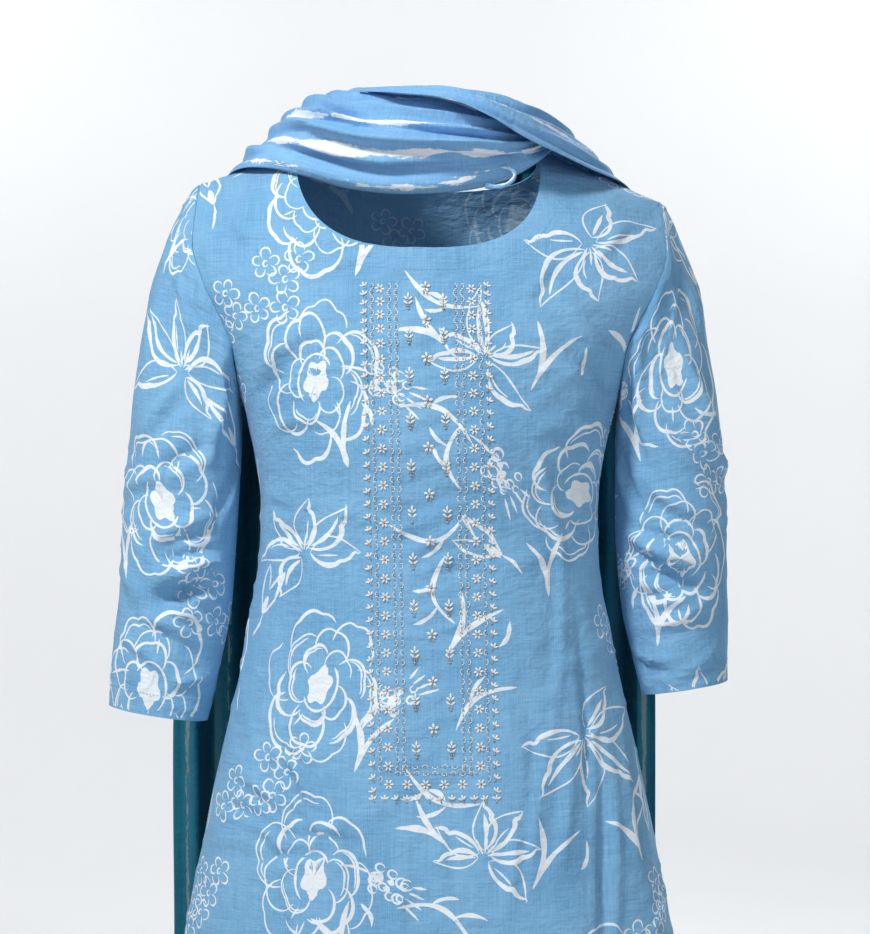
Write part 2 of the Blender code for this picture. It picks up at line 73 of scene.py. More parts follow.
Section = namedtuple("Section", "z half_width front back middle")
TORSO = [
    Section(0.010, 0.215, 0.074, 0.069, 0.010),
    Section(-0.050, 0.215, 0.090, 0.082, 0.010),
    Section(-0.085, 0.225, 0.097, 0.087, 0.009),
    Section(-0.120, 0.222, 0.102, 0.090, 0.007),
    Section(-0.150, 0.200, 0.107, 0.092, 0.005),
    Section(-0.175, 0.182, 0.110, 0.092, 0.003),
    Section(-0.2175, 0.163, 0.112, 0.090, 0.002),
    Section(-0.245, 0.155, 0.112, 0.088, 0.000),
    Section(-0.305, 0.146, 0.105, 0.084, 0.000),
    Section(-0.350, 0.147, 0.101, 0.086, 0.000),
    Section(-0.430, 0.159, 0.104, 0.098, 0.000),
    Section(-0.530, 0.182, 0.115, 0.115, 0.000),
    Section(-0.625, 0.201, 0.127, 0.130, 0.000),
    Section(-0.800, 0.234, 0.150, 0.155, 0.000),
    Section(-0.950, 0.259, 0.168, 0.174, 0.000),
    Section(-1.100, 0.283, 0.186, 0.192, 0.000),
]

# The armhole's edge from the shoulder's tip to the armpit: share of its height, and distance from the middle
ArmholeEdge = namedtuple("ArmholeEdge", "share x")
ARMHOLE = [
    ArmholeEdge(0.00, 0.200),
    ArmholeEdge(0.27, 0.203),
    ArmholeEdge(0.46, 0.193),
    ArmholeEdge(0.63, 0.178),
    ArmholeEdge(0.77, 0.168),
    ArmholeEdge(1.00, 0.163),
]

# Folds of the skirt: angle from the centre front towards +X, half width in degrees, rise at the hem, and
# level where each one starts
SkirtFold = namedtuple("SkirtFold", "angle width rise top")
SKIRT_FOLDS = [
    SkirtFold(-74, 11, 0.010, -0.46),
    SkirtFold(-50, 10, -0.012, -0.50),
    SkirtFold(-28, 11, 0.010, -0.56),
    SkirtFold(-6, 11, -0.008, -0.62),
    SkirtFold(14, 10, 0.009, -0.58),
    SkirtFold(32, 8, 0.009, -0.46),
    SkirtFold(46, 8, -0.015, -0.42),
    SkirtFold(64, 9, 0.013, -0.44),
    SkirtFold(88, 9, -0.006, -0.52),
    SkirtFold(110, 10, 0.011, -0.50),
    SkirtFold(133, 10, -0.010, -0.54),
    SkirtFold(156, 10, 0.010, -0.58),
    SkirtFold(180, 10, -0.010, -0.60),
    SkirtFold(-156, 10, 0.011, -0.56),
    SkirtFold(-134, 9, -0.011, -0.52),
    SkirtFold(-112, 9, 0.011, -0.50),
    SkirtFold(-92, 8, -0.006, -0.50),
]

# Each sleeve below its cap: level of a ring's middle, its place, and its half width and half depth
Arm = namedtuple("Arm", "z centre_x centre_y radius_x radius_y")
SLEEVES = {
    "right": [
        Arm(-0.262, 0.2125, 0.004, 0.0485, 0.0540),
        Arm(-0.330, 0.2170, 0.003, 0.0490, 0.0530),
        Arm(-0.390, 0.2205, 0.000, 0.0485, 0.0500),
        Arm(-0.447, 0.2280, -0.005, 0.0450, 0.0470),
        Arm(-0.4885, 0.2335, -0.009, 0.0415, 0.0440),
    ],
    "left": [
        Arm(-0.262, 0.2090, 0.012, 0.0465, 0.0540),
        Arm(-0.330, 0.2110, 0.018, 0.0480, 0.0530),
        Arm(-0.390, 0.2150, 0.021, 0.0465, 0.0500),
        Arm(-0.440, 0.2205, 0.023, 0.0410, 0.0460),
        Arm(-0.4685, 0.2240, 0.024, 0.0375, 0.0430),
    ],
}
CUFF_TILT = math.tan(math.radians(9.0))

# A sleeve's cap leaves the armhole outwards, most at the shoulder, forwards on its front half and back on its
# back half, and downwards, least at the shoulder. It comes into the arm leaning out by ARM_LEAN.
CAP_PULL = {"right": 0.62, "left": 0.42}
CAP_OUT = 0.10
CAP_OUT_AT_TOP = 0.80
CAP_OUT_POWER = 0.7
CAP_FORWARD = 0.22
CAP_DOWN = 1.0
CAP_DOWN_AT_TOP = 0.7
ARM_PULL = 0.90
ARM_LEAN = 0.075

# The dupatta's sections in millimetres, in order along the cloth: its edge next to the neck, the point it
# bulges towards, its other edge, and how high its pleats stand. Stretches that meet share a section.
Band = namedtuple("Band", "inner bulge outer pleat")
TAIL_RIGHT = [
    ((-40, 202, -895), (-138, 202, -890), (-240, 200, -885), 14),
    ((-38, 176, -700), (-136, 178, -700), (-239, 176, -700), 13),
    ((-37, 148, -500), (-135, 149, -500), (-237, 147, -500), 12),
    ((-38, 128, -320), (-132, 130, -320), (-230, 128, -320), 11),
    ((-42, 120, -180), (-128, 124, -178), (-216, 114, -180), 9),
    ((-50, 106, -75), (-124, 120, -62), (-200, 94, -95), 6),
    ((-60, 74, 6), (-128, 96, 14), (-184, 58, -36), 4),
]
COWL = [
    ((-60, 74, 6), (-128, 96, 14), (-184, 58, -36), 4),
    ((-68, 38, 34), (-134, 46, 34), (-175, 18, -21.7), 3),
    ((-68, 4, 46), (-134, -6, 42), (-160, -16, -18.2), 3),
    ((-62, -24, 48), (-118, -56, 42), (-136, -34, -19.7), 3),
    ((-48, -45, 44), (-94, -100, 35), (-108, -48, -26), 3),
    ((-30, -55, 40), (-58, -130, 28), (-70, -68, -39), 3),
    ((-8, -59, 37), (-16, -142, 22), (-26, -80, -45), 3),
    ((14, -58, 34), (26, -140, 16), (26, -80, -43), 3),
    ((34, -50, 29), (64, -122, 9), (62, -70, -33), 3),
    ((48, -36, 23), (88, -90, 4), (90, -54, -18), 2),
    ((56, -16, 18), (100, -54, 3), (108, -32, -2), 1),
    ((60, 6, 14), (102, -18, 3), (118, -4, 1), 1),
]
CROSS = [
    ((-52, -50, 47.5), (-56, -62, 46), (-60, -70, 42), 0),
    ((-22, -63, 45.5), (-26, -86, 44), (-28, -96, 36), 0.8),
    ((8, -65, 44), (12, -100, 42), (18, -112, 29), 1.5),
    ((34, -58, 42), (46, -104, 39), (50, -112, 15), 2),
    ((52, -44, 40), (76, -96, 36), (78, -96, 0), 2.5),
    ((62, -24, 38), (102, -72, 31), (106, -74, -11), 3),
    ((68, 0, 34), (124, -36, 22), (136, -44, -22), 3),
    ((68, 30, 26), (134, 10, 15), (164, -8, -29), 3),
    ((60, 74, 4), (128, 94, 6), (184, 54, -45), 4),
]
TAIL_LEFT = [
    ((60, 74, 4), (128, 94, 6), (184, 54, -45), 4),
    ((50, 106, -75), (120, 120, -62), (192, 94, -98), 6),
    ((42, 120, -180), (120, 124, -178), (200, 116, -180), 9),
    ((36, 128, -320), (120, 130, -320), (206, 130, -320), 11),
    ((34, 148, -500), (121, 149, -500), (209, 147, -500), 12),
    ((34, 176, -700), (122, 178, -700), (211, 176, -700), 13),
    ((36, 198, -862), (124, 200, -868), (212, 196, -872), 14),
]

# Pleats across the dupatta: where each crest lies, as a share of the width from the neck edge, and how high
# it stands
Pleat = namedtuple("Pleat", "crest height")
PLEATS = [
    Pleat(0.03, 0.8),
    Pleat(0.17, 1.1),
    Pleat(0.33, 0.7),
    Pleat(0.50, 1.2),
    Pleat(0.65, 0.9),
    Pleat(0.83, 1.1),
    Pleat(0.97, 0.7),
]

# Creases of the panels, in millimetres across from the centre and down from the shoulder: middle, half
# length, turn in degrees from level, half width, height, and how far the ends bend
FRONT_CREASES = [
    (-104, 545, 55, 66, 4.5, 2.2, 6),
    (-112, 522, 40, 40, 4, -1.8, 5),
    (-88, 575, 50, 4, 4.5, 1.8, 4),
    (-120, 600, 60, -8, 4.5, -1.8, 4),
    (114, 420, 110, 94, 4.5, 1.6, 5),
    (138, 480, 120, 88, 5, -1.8, 6),
    (90, 560, 90, 97, 4.5, 1.8, -5),
    (104, 300, 80, 74, 5, 1.4, 6),
    (-112, 400, 80, 98, 5, 1.5, 5),
    (-128, 460, 70, 84, 4.5, -1.5, 4),
    (-128, 176, 60, -38, 7.5, 2.2, 10),
    (-140, 205, 48, -24, 6, -1.8, 6),
    (-118, 236, 50, -12, 6.5, 1.4, 6),
    (134, 160, 60, 42, 7, 2.2, -10),
    (146, 196, 48, 28, 6, -2, -6),
    (122, 246, 46, 14, 6, 1.4, -6),
    (-146, 300, 36, 6, 5, 1.2, 4),
    (-136, 335, 42, -8, 5.5, -1.2, 4),
    (142, 318, 40, 8, 5, 1.3, -4),
    (90, 352, 36, -12, 6, 1, 4),
    (-60, 318, 30, 10, 5, 0.8, 3),
    (104, 440, 36, 2, 1.6, 1, 1),
    (182, 436, 40, -3, 1.6, 1, 1),
    (-186, 524, 30, 2, 1.5, 1.2, 1),
    (-150, 545, 38, 24, 5, 2, 6),
    (-166, 566, 42, 14, 5, -1.8, 6),
    (-140, 582, 34, 32, 4.5, 1.6, 4),
    (-178, 592, 30, -4, 4.5, 1.4, 4),
    (-108, 560, 24, 40, 4, 1, 3),
    (152, 610, 120, 92, 4.5, -2.2, 4),
    (166, 620, 130, 91, 5, 2.2, 4),
    (118, 560, 70, 96, 6, 2, 6),
    (196, 560, 90, 88, 5.5, -1.8, -6),
    (88, 520, 60, 84, 6, -1.2, 4),
    (70, 610, 60, 98, 6, 1.4, 4),
    (-62, 610, 70, 88, 7, -1.4, 4),
    (-24, 640, 80, 94, 7, 1.6, 4),
    (-110, 660, 70, 80, 7, 1.6, 5),
    (20, 600, 50, 86, 6, -1, 3),
    (30, 745, 80, 1, 1.8, 1.1, 1),
    (-120, 752, 70, -2, 1.8, 1.1, 1),
    (200, 760, 130, 86, 7, 2.4, 6),
    (-180, 800, 140, 94, 8, -2.2, 8),
    (60, 860, 130, 91, 8, 2, 6),
    (-50, 890, 130, 88, 8, -2, 6),
    (230, 930, 120, 87, 7, -2, 6),
    (-100, 110, 30, 62, 6, 1.2, 4),
    (92, 118, 30, -60, 6, 1.2, 4),
    (-160, 75, 32, 50, 6, 1.4, 4),
    (160, 80, 34, -52, 6, 1.4, 4),
]
BACK_CREASES = [
    (-120, 170, 60, -34, 7.5, 2, 10),
    (-134, 215, 46, -18, 6, -1.6, 6),
    (126, 168, 58, 36, 7, 2.2, -10),
    (138, 220, 44, 20, 6, -1.6, -6),
    (-60, 300, 50, 8, 6, 1.4, 6),
    (55, 322, 52, -6, 6, 1.4, -6),
    (-20, 345, 60, 2, 5.5, -1.4, 4),
    (-125, 330, 44, -10, 5, 1.2, 4),
    (120, 350, 46, 12, 5, 1.2, -4),
    (20, 372, 50, -4, 5, 1, 4),
    (-100, 440, 40, 1, 1.6, 1, 1),
    (80, 438, 50, -2, 1.6, 1, 1),
    (-150, 600, 130, 93, 6, 2.8, 6),
    (-90, 640, 120, 88, 7, -2.2, 6),
    (-30, 610, 110, 91, 6.5, 2.2, 5),
    (40, 660, 130, 89, 7, -2.2, 6),
    (100, 620, 120, 92, 6, 2.4, 6),
    (160, 650, 120, 86, 6.5, -2.2, 6),
    (0, 748, 110, 1, 1.8, 1.1, 1),
    (-200, 820, 130, 94, 8, 2.2, 8),
    (-60, 880, 130, 90, 8, -2, 6),
    (70, 900, 130, 88, 8, 2.2, 6),
    (210, 840, 130, 86, 8, -2.2, 6),
]

# Creases of the sleeves, in the same units: across is round the arm, 0 on its outer side and positive at the
# front of the wearer's left arm, and down is from the ring below the cap
SLEEVE_CREASES = {
    "right": [
        (-85, 117, 55, 34, 8.5, -3, 6),
        (-88, 99, 50, 30, 8, 3, 6),
        (-118, -60, 60, 80, 7, 3, 6),
        (-106, -26, 50, 74, 5, 2.6, 6),
        (-120, 30, 50, 62, 4.5, -2.4, 6),
        (-112, 190, 40, 12, 4.5, 1.8, 5),
        (-60, 176, 44, -24, 4.5, 1.4, 5),
        (-50, -30, 50, 55, 7, 2.4, 8),
        (-78, 4, 44, 38, 6, -2.2, 6),
        (-40, 30, 50, 20, 6, 1.6, 8),
        (-82, 62, 46, 30, 5.5, 2.6, 8),
        (-90, 86, 44, 18, 5, -2.6, 6),
        (-94, 106, 44, 6, 5, 2.6, 6),
        (-88, 128, 42, -8, 5, -2.2, 6),
        (-80, 150, 44, -20, 5.5, 2, 6),
        (-30, 120, 36, -30, 6, 1.2, 4),
        (60, 110, 50, 10, 6, 1.6, 6),
        (80, 60, 50, -14, 6, 1.6, 6),
        (40, -20, 50, -50, 7, 1.8, 6),
        (10, -120, 50, 80, 8, 1.2, 6),
        (-35, -110, 40, 64, 6, 1.2, 4),
        (-20, 190, 30, 76, 5, 1, 4),
    ],
    "left": [
        (88, 86, 50, -30, 8, 3, -6),
        (84, 104, 55, -36, 8.5, -2.8, -6),
        (116, -62, 60, -80, 7, 3, -6),
        (104, -30, 50, -76, 5, 2.6, -6),
        (118, 24, 50, -64, 4.5, -2.4, -6),
        (108, 176, 40, -12, 4.5, 1.8, -5),
        (56, 184, 44, 22, 4.5, 1.4, -5),
        (46, -40, 50, -58, 7, 2.6, -8),
        (66, -10, 46, -46, 6, -2.2, -6),
        (30, 10, 50, -34, 6, 1.8, -8),
        (74, 46, 46, -34, 5.5, 2.2, -8),
        (84, 74, 44, -22, 5, -2.4, -6),
        (88, 98, 44, -8, 5, 2.4, -6),
        (82, 120, 40, 8, 5, -2, -6),
        (70, 142, 44, 18, 5.5, 1.8, -6),
        (30, 60, 40, -26, 6, 1.4, -4),
        (-60, 100, 50, -10, 6, 1.6, 6),
        (-80, 50, 50, 14, 6, 1.6, 6),
        (-40, -20, 50, 50, 7, 1.8, 6),
        (0, -120, 50, 100, 8, 1.2, 6),
        (30, -110, 40, -64, 6, 1.2, 4),
    ],
}


def hermite(start, leave, end, arrive, part):
    """A cubic from start to end, part running from 0 to 1, with its slopes at both."""
    return (
        start * (1 + 2 * part) * (1 - part) ** 2
        + leave * part * (1 - part) ** 2
        + end * part**2 * (3 - 2 * part)
        + arrive * part**2 * (part - 1)
    )


def unit(vectors):
    return vectors / np.maximum(np.linalg.norm(vectors, axis=-1, keepdims=True), 1e-12)


def to_left(steps):
    """Unit vectors to the left of a flat line's steps."""
    steps = unit(steps)
    return np.stack([-steps[:, 1], steps[:, 0]], axis=-1)


def lengths_along(line):
    return np.concatenate([[0.0], np.cumsum(np.linalg.norm(np.diff(line, axis=0), axis=1))])


def flat_point(line, along, at):
    """The point of a flat line at a length along it."""
    return np.stack([np.interp(at, along, line[:, axis]) for axis in (0, 1)], axis=-1)


def curve_through(knots, values, slopes, at):
    at = np.clip(np.asarray(at, float), knots[0], knots[-1])
    index = np.clip(np.searchsorted(knots, at, side="right") - 1, 0, len(knots) - 2)
    width = np.diff(knots)[index][..., None]
    part = (at - knots[index])[..., None] / width
    return hermite(values[index], slopes[index] * width, values[index + 1], slopes[index + 1] * width, part)


def smooth_curve(knots, values, at):
    """A curve with no overshoot through the knots, which must increase. values may hold several columns."""
    knots = np.asarray(knots, float)
    values = np.asarray(values, float).reshape(len(knots), -1)
    slope = np.diff(values, axis=0) / np.diff(knots)[:, None]
    same_way = slope[1:] * slope[:-1] > 0
    total = np.where(same_way, slope[1:] + slope[:-1], 1.0)
    inner = np.where(same_way, 2 * slope[1:] * slope[:-1] / total, 0.0)
    return curve_through(knots, values, np.vstack([slope[:1], inner, slope[-1:]]), at)


def rounded_path(knots, values, at):
    """A round path through the values, for one that may turn back on itself."""
    knots = np.asarray(knots, float)
    values = np.asarray(values, float).reshape(len(knots), -1)
    return curve_through(knots, values, np.gradient(values, knots, axis=0), at)


def smooth_step(value):
    value = np.clip(value, 0.0, 1.0)
    return value * value * (3 - 2 * value)


def ridge(off, width, dip, dip_away):
    """A soft ridge at off = 0 with a shallower dip along one side of it."""
    return np.exp(-((off / width) ** 2)) - dip * np.exp(-(((off - dip_away * width) / width) ** 2))


def sizes_at(rows, z):
    """A table's other columns at level z."""
    rows = sorted(rows, key=lambda row: row.z)
    return np.moveaxis(smooth_curve([row.z for row in rows], [row[1:] for row in rows], z), -1, 0)


def panel_sizes(side, z):
    """Half width, depth on this side and middle of the torso's section at z."""
    half_width, front, back, middle = sizes_at(TORSO, z)
    return half_width, front if side == "front" else back, middle


def shoulder_line(x):
    """Level of the shoulder seam at x, also above the neck opening."""
    out = np.maximum(np.abs(x - NECK_MIDDLE) - NECK_HALF_WIDTH, 0.0)
    return SHOULDER_Z - np.where(x < NECK_MIDDLE, SHOULDER_SLOPE["right"], SHOULDER_SLOPE["left"]) * out


def skirt_rise(angle, z):
    """How far the folds stand out at an angle in degrees from the centre front."""
    rise = np.zeros(np.broadcast(angle, z).shape)
    for fold in SKIRT_FOLDS:
        off = (angle - fold.angle + 180.0) % 360.0 - 180.0
        grown = smooth_step((fold.top - z) / (fold.top - HEM_Z))
        rise += fold.rise * grown * np.exp(-((off / fold.width) ** 2))
    return rise


def section_share(angle):
    """Shares of half width and of depth at an angle from the centre, on a rounded oblong."""
    across = np.sign(angle) * np.abs(np.sin(angle)) ** (2 / SECTION_POWER)
    return across, np.abs(np.cos(angle)) ** (2 / SECTION_POWER)


def facing(side):
    return -1.0 if side == "front" else 1.0


def chest_point(side, x, z):
    """A point of the front or back panel above the armpit, from its x and level."""
    half_width, depth, middle = panel_sizes(side, z)
    share = np.clip(np.abs(x) / half_width, 0.0, 1.0)
    across = (1 - share**SECTION_POWER) ** (1 / SECTION_POWER)
    below = np.clip((shoulder_line(x) - z) / SHOULDER_ROUND, 0.0, 1.0)
    round_over = np.sqrt(1 - (1 - below) ** 2)
    return np.stack([x, middle + facing(side) * depth * across * round_over, z], axis=-1)


def skirt_point(side, column, z):
    """A point below the armpit, column running from -1 to 1 between the side seams."""
    half_width, depth, middle = panel_sizes(side, z)
    across, along = section_share(column * math.pi / 2)
    x = half_width * across
    y = facing(side) * depth * along
    degrees = column * 90.0 if side == "front" else 180.0 - column * 90.0
    swell = 1 + skirt_rise(degrees, z) / np.hypot(x, y)
    return np.stack([x * swell, middle + y * swell, z], axis=-1)


def neckline(side, share):
    """x and level of the neckline, share running from -1 at one shoulder to 1 at the other."""
    turn = np.sign(share) * (1 - (1 - np.abs(share)) ** NECK_CORNER_EASE) * math.pi / 2
    x = np.sign(share) * np.abs(np.sin(turn)) ** (2 / NECK_POWER)
    drop = np.abs(np.cos(turn)) ** (2 / NECK_POWER)
    middle = NECK_MIDDLE + (NECK_BOTTOM_MIDDLE - NECK_MIDDLE) * drop
    return middle + NECK_HALF_WIDTH * x, SHOULDER_Z - NECK_DROP[side] * drop


def armhole_edge(sign, share):
    """x and level of the armhole's edge, share running from the shoulder's tip to the armpit."""
    x = smooth_curve([edge.share for edge in ARMHOLE], [edge.x for edge in ARMHOLE], share)[..., 0]
    tip_z = shoulder_line(np.array(sign * SHOULDER_TIP))
    return sign * x, tip_z + (ARMPIT_Z - tip_z) * share


# Flat cloth of a panel: p across from the centre along the level sections, s down, the same as -z but for the
# part that rounds over the shoulder, where s follows the cloth
LEVELS = np.linspace(0.02, HEM_Z - 0.01, 378)
COLUMNS = np.linspace(-1.0, 1.0, 401)
ROUND_STEPS = np.linspace(0.0, math.pi / 2, 161)


def table_at(table, rows, columns):
    """The table's values at fractional rows and columns."""
    rows = np.clip(rows, 0.0, table.shape[0] - 1.001)
    columns = np.clip(columns, 0.0, table.shape[1] - 1.001)
    row = rows.astype(int)
    column = columns.astype(int)
    down = rows - row
    right = columns - column
    upper = table[row, column] * (1 - right) + table[row, column + 1] * right
    lower = table[row + 1, column] * (1 - right) + table[row + 1, column + 1] * right
    return upper * (1 - down) + lower * down


def level_row(z):
    return (z - LEVELS[0]) / (LEVELS[1] - LEVELS[0])


def make_arc_tables(side):
    """For each level: the arc from the centre at each column, and the column at each share of the arc."""
    half_width, depth, _ = panel_sizes(side, LEVELS[:, None])
    across, along = section_share(COLUMNS[None, :] * math.pi / 2)
    x, y = half_width * across, depth * along
    steps = np.hypot(np.diff(x, axis=1), np.diff(y, axis=1))
    arc = np.concatenate([np.zeros((len(LEVELS), 1)), np.cumsum(steps, axis=1)], axis=1)
    arc -= arc[:, len(COLUMNS) // 2, None]
    column = np.array([np.interp(COLUMNS * row[-1], row, COLUMNS) for row in arc])
    return arc, column


ARC_TABLES = {side: make_arc_tables(side) for side in ("front", "back")}


def half_arc(side, z):
    arc = ARC_TABLES[side][0]
    return np.interp(level_row(z), np.arange(len(LEVELS)), arc[:, -1])


def column_at(side, p, z):
    share = p / half_arc(side, z)
    return table_at(ARC_TABLES[side][1], level_row(z), (share + 1) / 2 * (len(COLUMNS) - 1))


def arc_at(side, column, z):
    return table_at(ARC_TABLES[side][0], level_row(z), (column + 1) / 2 * (len(COLUMNS) - 1))


def column_of_x(x, z):
    share = np.clip(x / sizes_at(TORSO, z)[0], -1.0, 1.0)
    return np.sign(share) * np.arcsin(np.abs(share) ** (SECTION_POWER / 2)) * 2 / math.pi


def shoulder_excess(side, x, turn):
    """How much longer than its drop the cloth is from turn to the end of its rounding over the shoulder."""
    half_width, depth, _ = panel_sizes(side, shoulder_line(x) - SHOULDER_ROUND)
    across = (1 - np.clip(np.abs(x) / half_width, 0.0, 1.0) ** SECTION_POWER) ** (1 / SECTION_POWER)
    ratio = depth * across / SHOULDER_ROUND
    ratios = np.linspace(0.0, 1.5, 61)
    grown = np.hypot(np.sin(ROUND_STEPS), ratios[:, None] * np.cos(ROUND_STEPS)) - np.sin(ROUND_STEPS)
    pieces = (grown[:, 1:] + grown[:, :-1]) / 2 * (ROUND_STEPS[1] - ROUND_STEPS[0])
    left = np.concatenate([np.cumsum(pieces[:, ::-1], axis=1)[:, ::-1], np.zeros((len(ratios), 1))], axis=1)
    return SHOULDER_ROUND * table_at(left, ratio / 1.5 * 60, turn / (math.pi / 2) * 160)


def down_at(side, x, z):
    """s of a point above or below the rounding."""
    below = np.clip((shoulder_line(x) - z) / SHOULDER_ROUND, 0.0, 1.0)
    return -z - shoulder_excess(side, x, np.arccos(1 - below))


def level_at(side, x, s):
    """The level at s down the cloth, found by halving."""
    low = np.zeros_like(s)
    high = np.full_like(s, math.pi / 2)
    top = shoulder_line(x)
    for _ in range(22):
        turn = (low + high) / 2
        z = top - SHOULDER_ROUND * (1 - np.cos(turn))
        deeper = -z - shoulder_excess(side, x, turn) < s
        low = np.where(deeper, turn, low)
        high = np.where(deeper, high, turn)
    rounded = top - SHOULDER_ROUND * (1 - np.cos((low + high) / 2))
    return np.where(-s < top - SHOULDER_ROUND, -s, rounded)


def panel_place(side, p, s):
    """The outer face of the panel at flat points p, s, without its creases."""
    z = -s
    high = np.flatnonzero(s < -ARMPIT_Z)
    p_high, s_high = p[high], s[high]
    z_high = np.minimum(z[high], -0.02)

    def x_at(level):
        column = column_at(side, p_high, level)
        return sizes_at(TORSO, level)[0] * section_share(column * math.pi / 2)[0]

    for _ in range(5):
        z_high = level_at(side, x_at(z_high), s_high)
    places = skirt_point(side, column_at(side, p, np.minimum(z, ARMPIT_Z)), np.minimum(z, ARMPIT_Z))
    x = x_at(z_high)
    places[high] = chest_point(side, x, np.minimum(z_high, shoulder_line(x)))
    places[:, 1] += facing(side) * SEAM_GAP / 2
    return places


def panel_outline(side, step):
    """The panel's cut, in flat points, anticlockwise from the neck's -X corner: neck edge, then down the +X
    side and up the other."""
    share = np.linspace(-1.0, 1.0, round(0.30 / step) + 1)
    neck_x, neck_z = neckline(side, share)
    shoulder_steps = np.linspace(0.0, 1.0, round(0.10 / step) + 1)[1:]
    corner = NECK_MIDDLE + NECK_HALF_WIDTH
    shoulder_x = corner + (SHOULDER_TIP - corner) * shoulder_steps
    arm_share = np.linspace(0.0, 1.0, round(0.20 / step) + 1)[1:]
    side_z = np.linspace(ARMPIT_Z, HEM_Z, round((ARMPIT_Z - HEM_Z) / step) + 1)[1:]

    def flat(x, z):
        return arc_at(side, column_of_x(x, z), z), down_at(side, x, z)

    hem_half = half_arc(side, np.array(HEM_Z))
    hem_p = np.linspace(1.0, -1.0, round(2 * hem_half / step) + 1)[1:-1] * hem_half
    corner_right = NECK_MIDDLE - NECK_HALF_WIDTH
    shoulder_right = corner_right + (-SHOULDER_TIP - corner_right) * shoulder_steps
    runs = [
        flat(neck_x, neck_z),
        flat(shoulder_x, shoulder_line(shoulder_x)),
        flat(*armhole_edge(1.0, arm_share)),
        (half_arc(side, side_z), -side_z),
        (hem_p, np.full_like(hem_p, -HEM_Z)),
        (-half_arc(side, side_z[::-1]), -side_z[::-1]),
        tuple(part[::-1] for part in flat(*armhole_edge(-1.0, arm_share))),
        tuple(part[::-1] for part in flat(shoulder_right, shoulder_line(shoulder_right))),
    ]
    p = np.concatenate([run[0] for run in runs])
    s = np.concatenate([run[1] for run in runs])
    return np.stack([p, s], axis=-1)


def arm_ring(side, z, turn):
    """A ring of the sleeve, turned to the +X side. turn runs from 0 outside, through the front, to 1."""
    centre_x, centre_y, radius_x, radius_y = sizes_at(SLEEVES[side], z)
    out = radius_x * np.cos(2 * math.pi * turn)
    y = centre_y - radius_y * np.sin(2 * math.pi * turn)
    return np.stack([centre_x + out, y, z + CUFF_TILT * out], axis=-1)


def armhole_ring(side, turn):
    """The armhole's edge, turned to the +X side, from the shoulder down the front and up the back."""
    sign = 1.0 if side == "left" else -1.0
    down = np.where(turn <= 0.5, np.clip(2 * turn, 0.0, 1.0), np.clip(2 - 2 * turn, 0.0, 1.0)) ** 2
    x, z = armhole_edge(sign, down)
    ring = np.where((turn <= 0.5)[..., None], chest_point("front", x, z), chest_point("back", x, z))
    ring[..., 0] = np.abs(ring[..., 0]) + ARMHOLE_GAP
    return ring


def sleeve_cap(side, part, turn):
    """From the armhole, part 0, to the ring at the top of the arm, part 1."""
    start = armhole_ring(side, turn)
    end = arm_ring(side, SLEEVES[side][0].z + 0.0 * turn, turn)
    apart = np.linalg.norm(end - start, axis=-1, keepdims=True)
    top = (1 + np.cos(2 * math.pi * turn)) / 2
    out = CAP_OUT + (CAP_OUT_AT_TOP - CAP_OUT) * top**CAP_OUT_POWER
    forward = CAP_FORWARD * np.sin(2 * math.pi * turn)
    fall = CAP_DOWN + (CAP_DOWN_AT_TOP - CAP_DOWN) * top
    leave = np.stack([out, -forward, -fall], axis=-1)
    leave *= CAP_PULL[side] * apart / np.linalg.norm(leave, axis=-1, keepdims=True)
    arrive = np.array([ARM_LEAN, 0.0, -1.0]) * ARM_PULL * apart
    return hermite(start, leave, end, arrive, part[..., None])


# Flat cloth of a sleeve: p round the arm from its outer side, s down from the ring below the cap
SLEEVE_ROUND = 0.300
SLEEVE_TURNS = np.linspace(0.0, 1.0, 81)


def make_cap_heights(side):
    parts = np.linspace(0.0, 1.0, 30)[:, None]
    cap = sleeve_cap(side, parts + 0.0 * SLEEVE_TURNS, SLEEVE_TURNS + 0.0 * parts)
    return np.linalg.norm(np.diff(cap, axis=0), axis=-1).sum(axis=0)


CAP_HEIGHTS = {side: make_cap_heights(side) for side in SLEEVES}


def cap_height(side, turn):
    return np.interp(turn % 1.0, SLEEVE_TURNS, CAP_HEIGHTS[side])


def sleeve_length(side):
    return SLEEVES[side][0].z - SLEEVES[side][-1].z


def sleeve_place(side, p, s):
    """The outer face of the sleeve at flat points. p grows towards the wearer's front on the left arm and
    towards the back on the right arm, so both are seen the same way round from outside."""
    turn = (p if side == "left" else -p) / SLEEVE_ROUND % 1.0
    part = np.clip(1 + s / cap_height(side, turn), 0.0, 1.0)
    cap = sleeve_cap(side, part, turn)
    arm = arm_ring(side, SLEEVES[side][0].z - np.maximum(s, 0.0), turn)
    places = np.where((s < 0)[..., None], cap, arm)
    if side == "right":
        places[..., 0] *= -1.0
    return places


def sleeve_outline(side, step):
    """The sleeve's cut: the cap's edge, one side of its underarm seam, the cuff and the seam's other side."""
    half = SLEEVE_ROUND / 2
    p = np.linspace(-half, half, round(SLEEVE_ROUND / step) + 1)
    cap_s = -cap_height(side, (p if side == "left" else -p) / SLEEVE_ROUND)
    cuff = sleeve_length(side)
    seam_s = np.linspace(cap_s[-1], cuff, round((cuff - cap_s[-1]) / step) + 1)[1:]
    runs = [
        (p, cap_s),
        (np.full_like(seam_s, half), seam_s),
        (p[::-1][1:-1], np.full(len(p) - 2, cuff)),
        (np.full_like(seam_s, -half), seam_s[::-1]),
    ]
    return np.concatenate([np.stack(run, axis=-1) for run in runs])


CREASE_DEPTH = 2.1
PUCKER_HEIGHT = 0.00075
SLOW_PUCKER_HEIGHT = 0.0006
CRUMPLE_HEIGHT = 0.0021
SLACK_HEIGHT = 0.0010


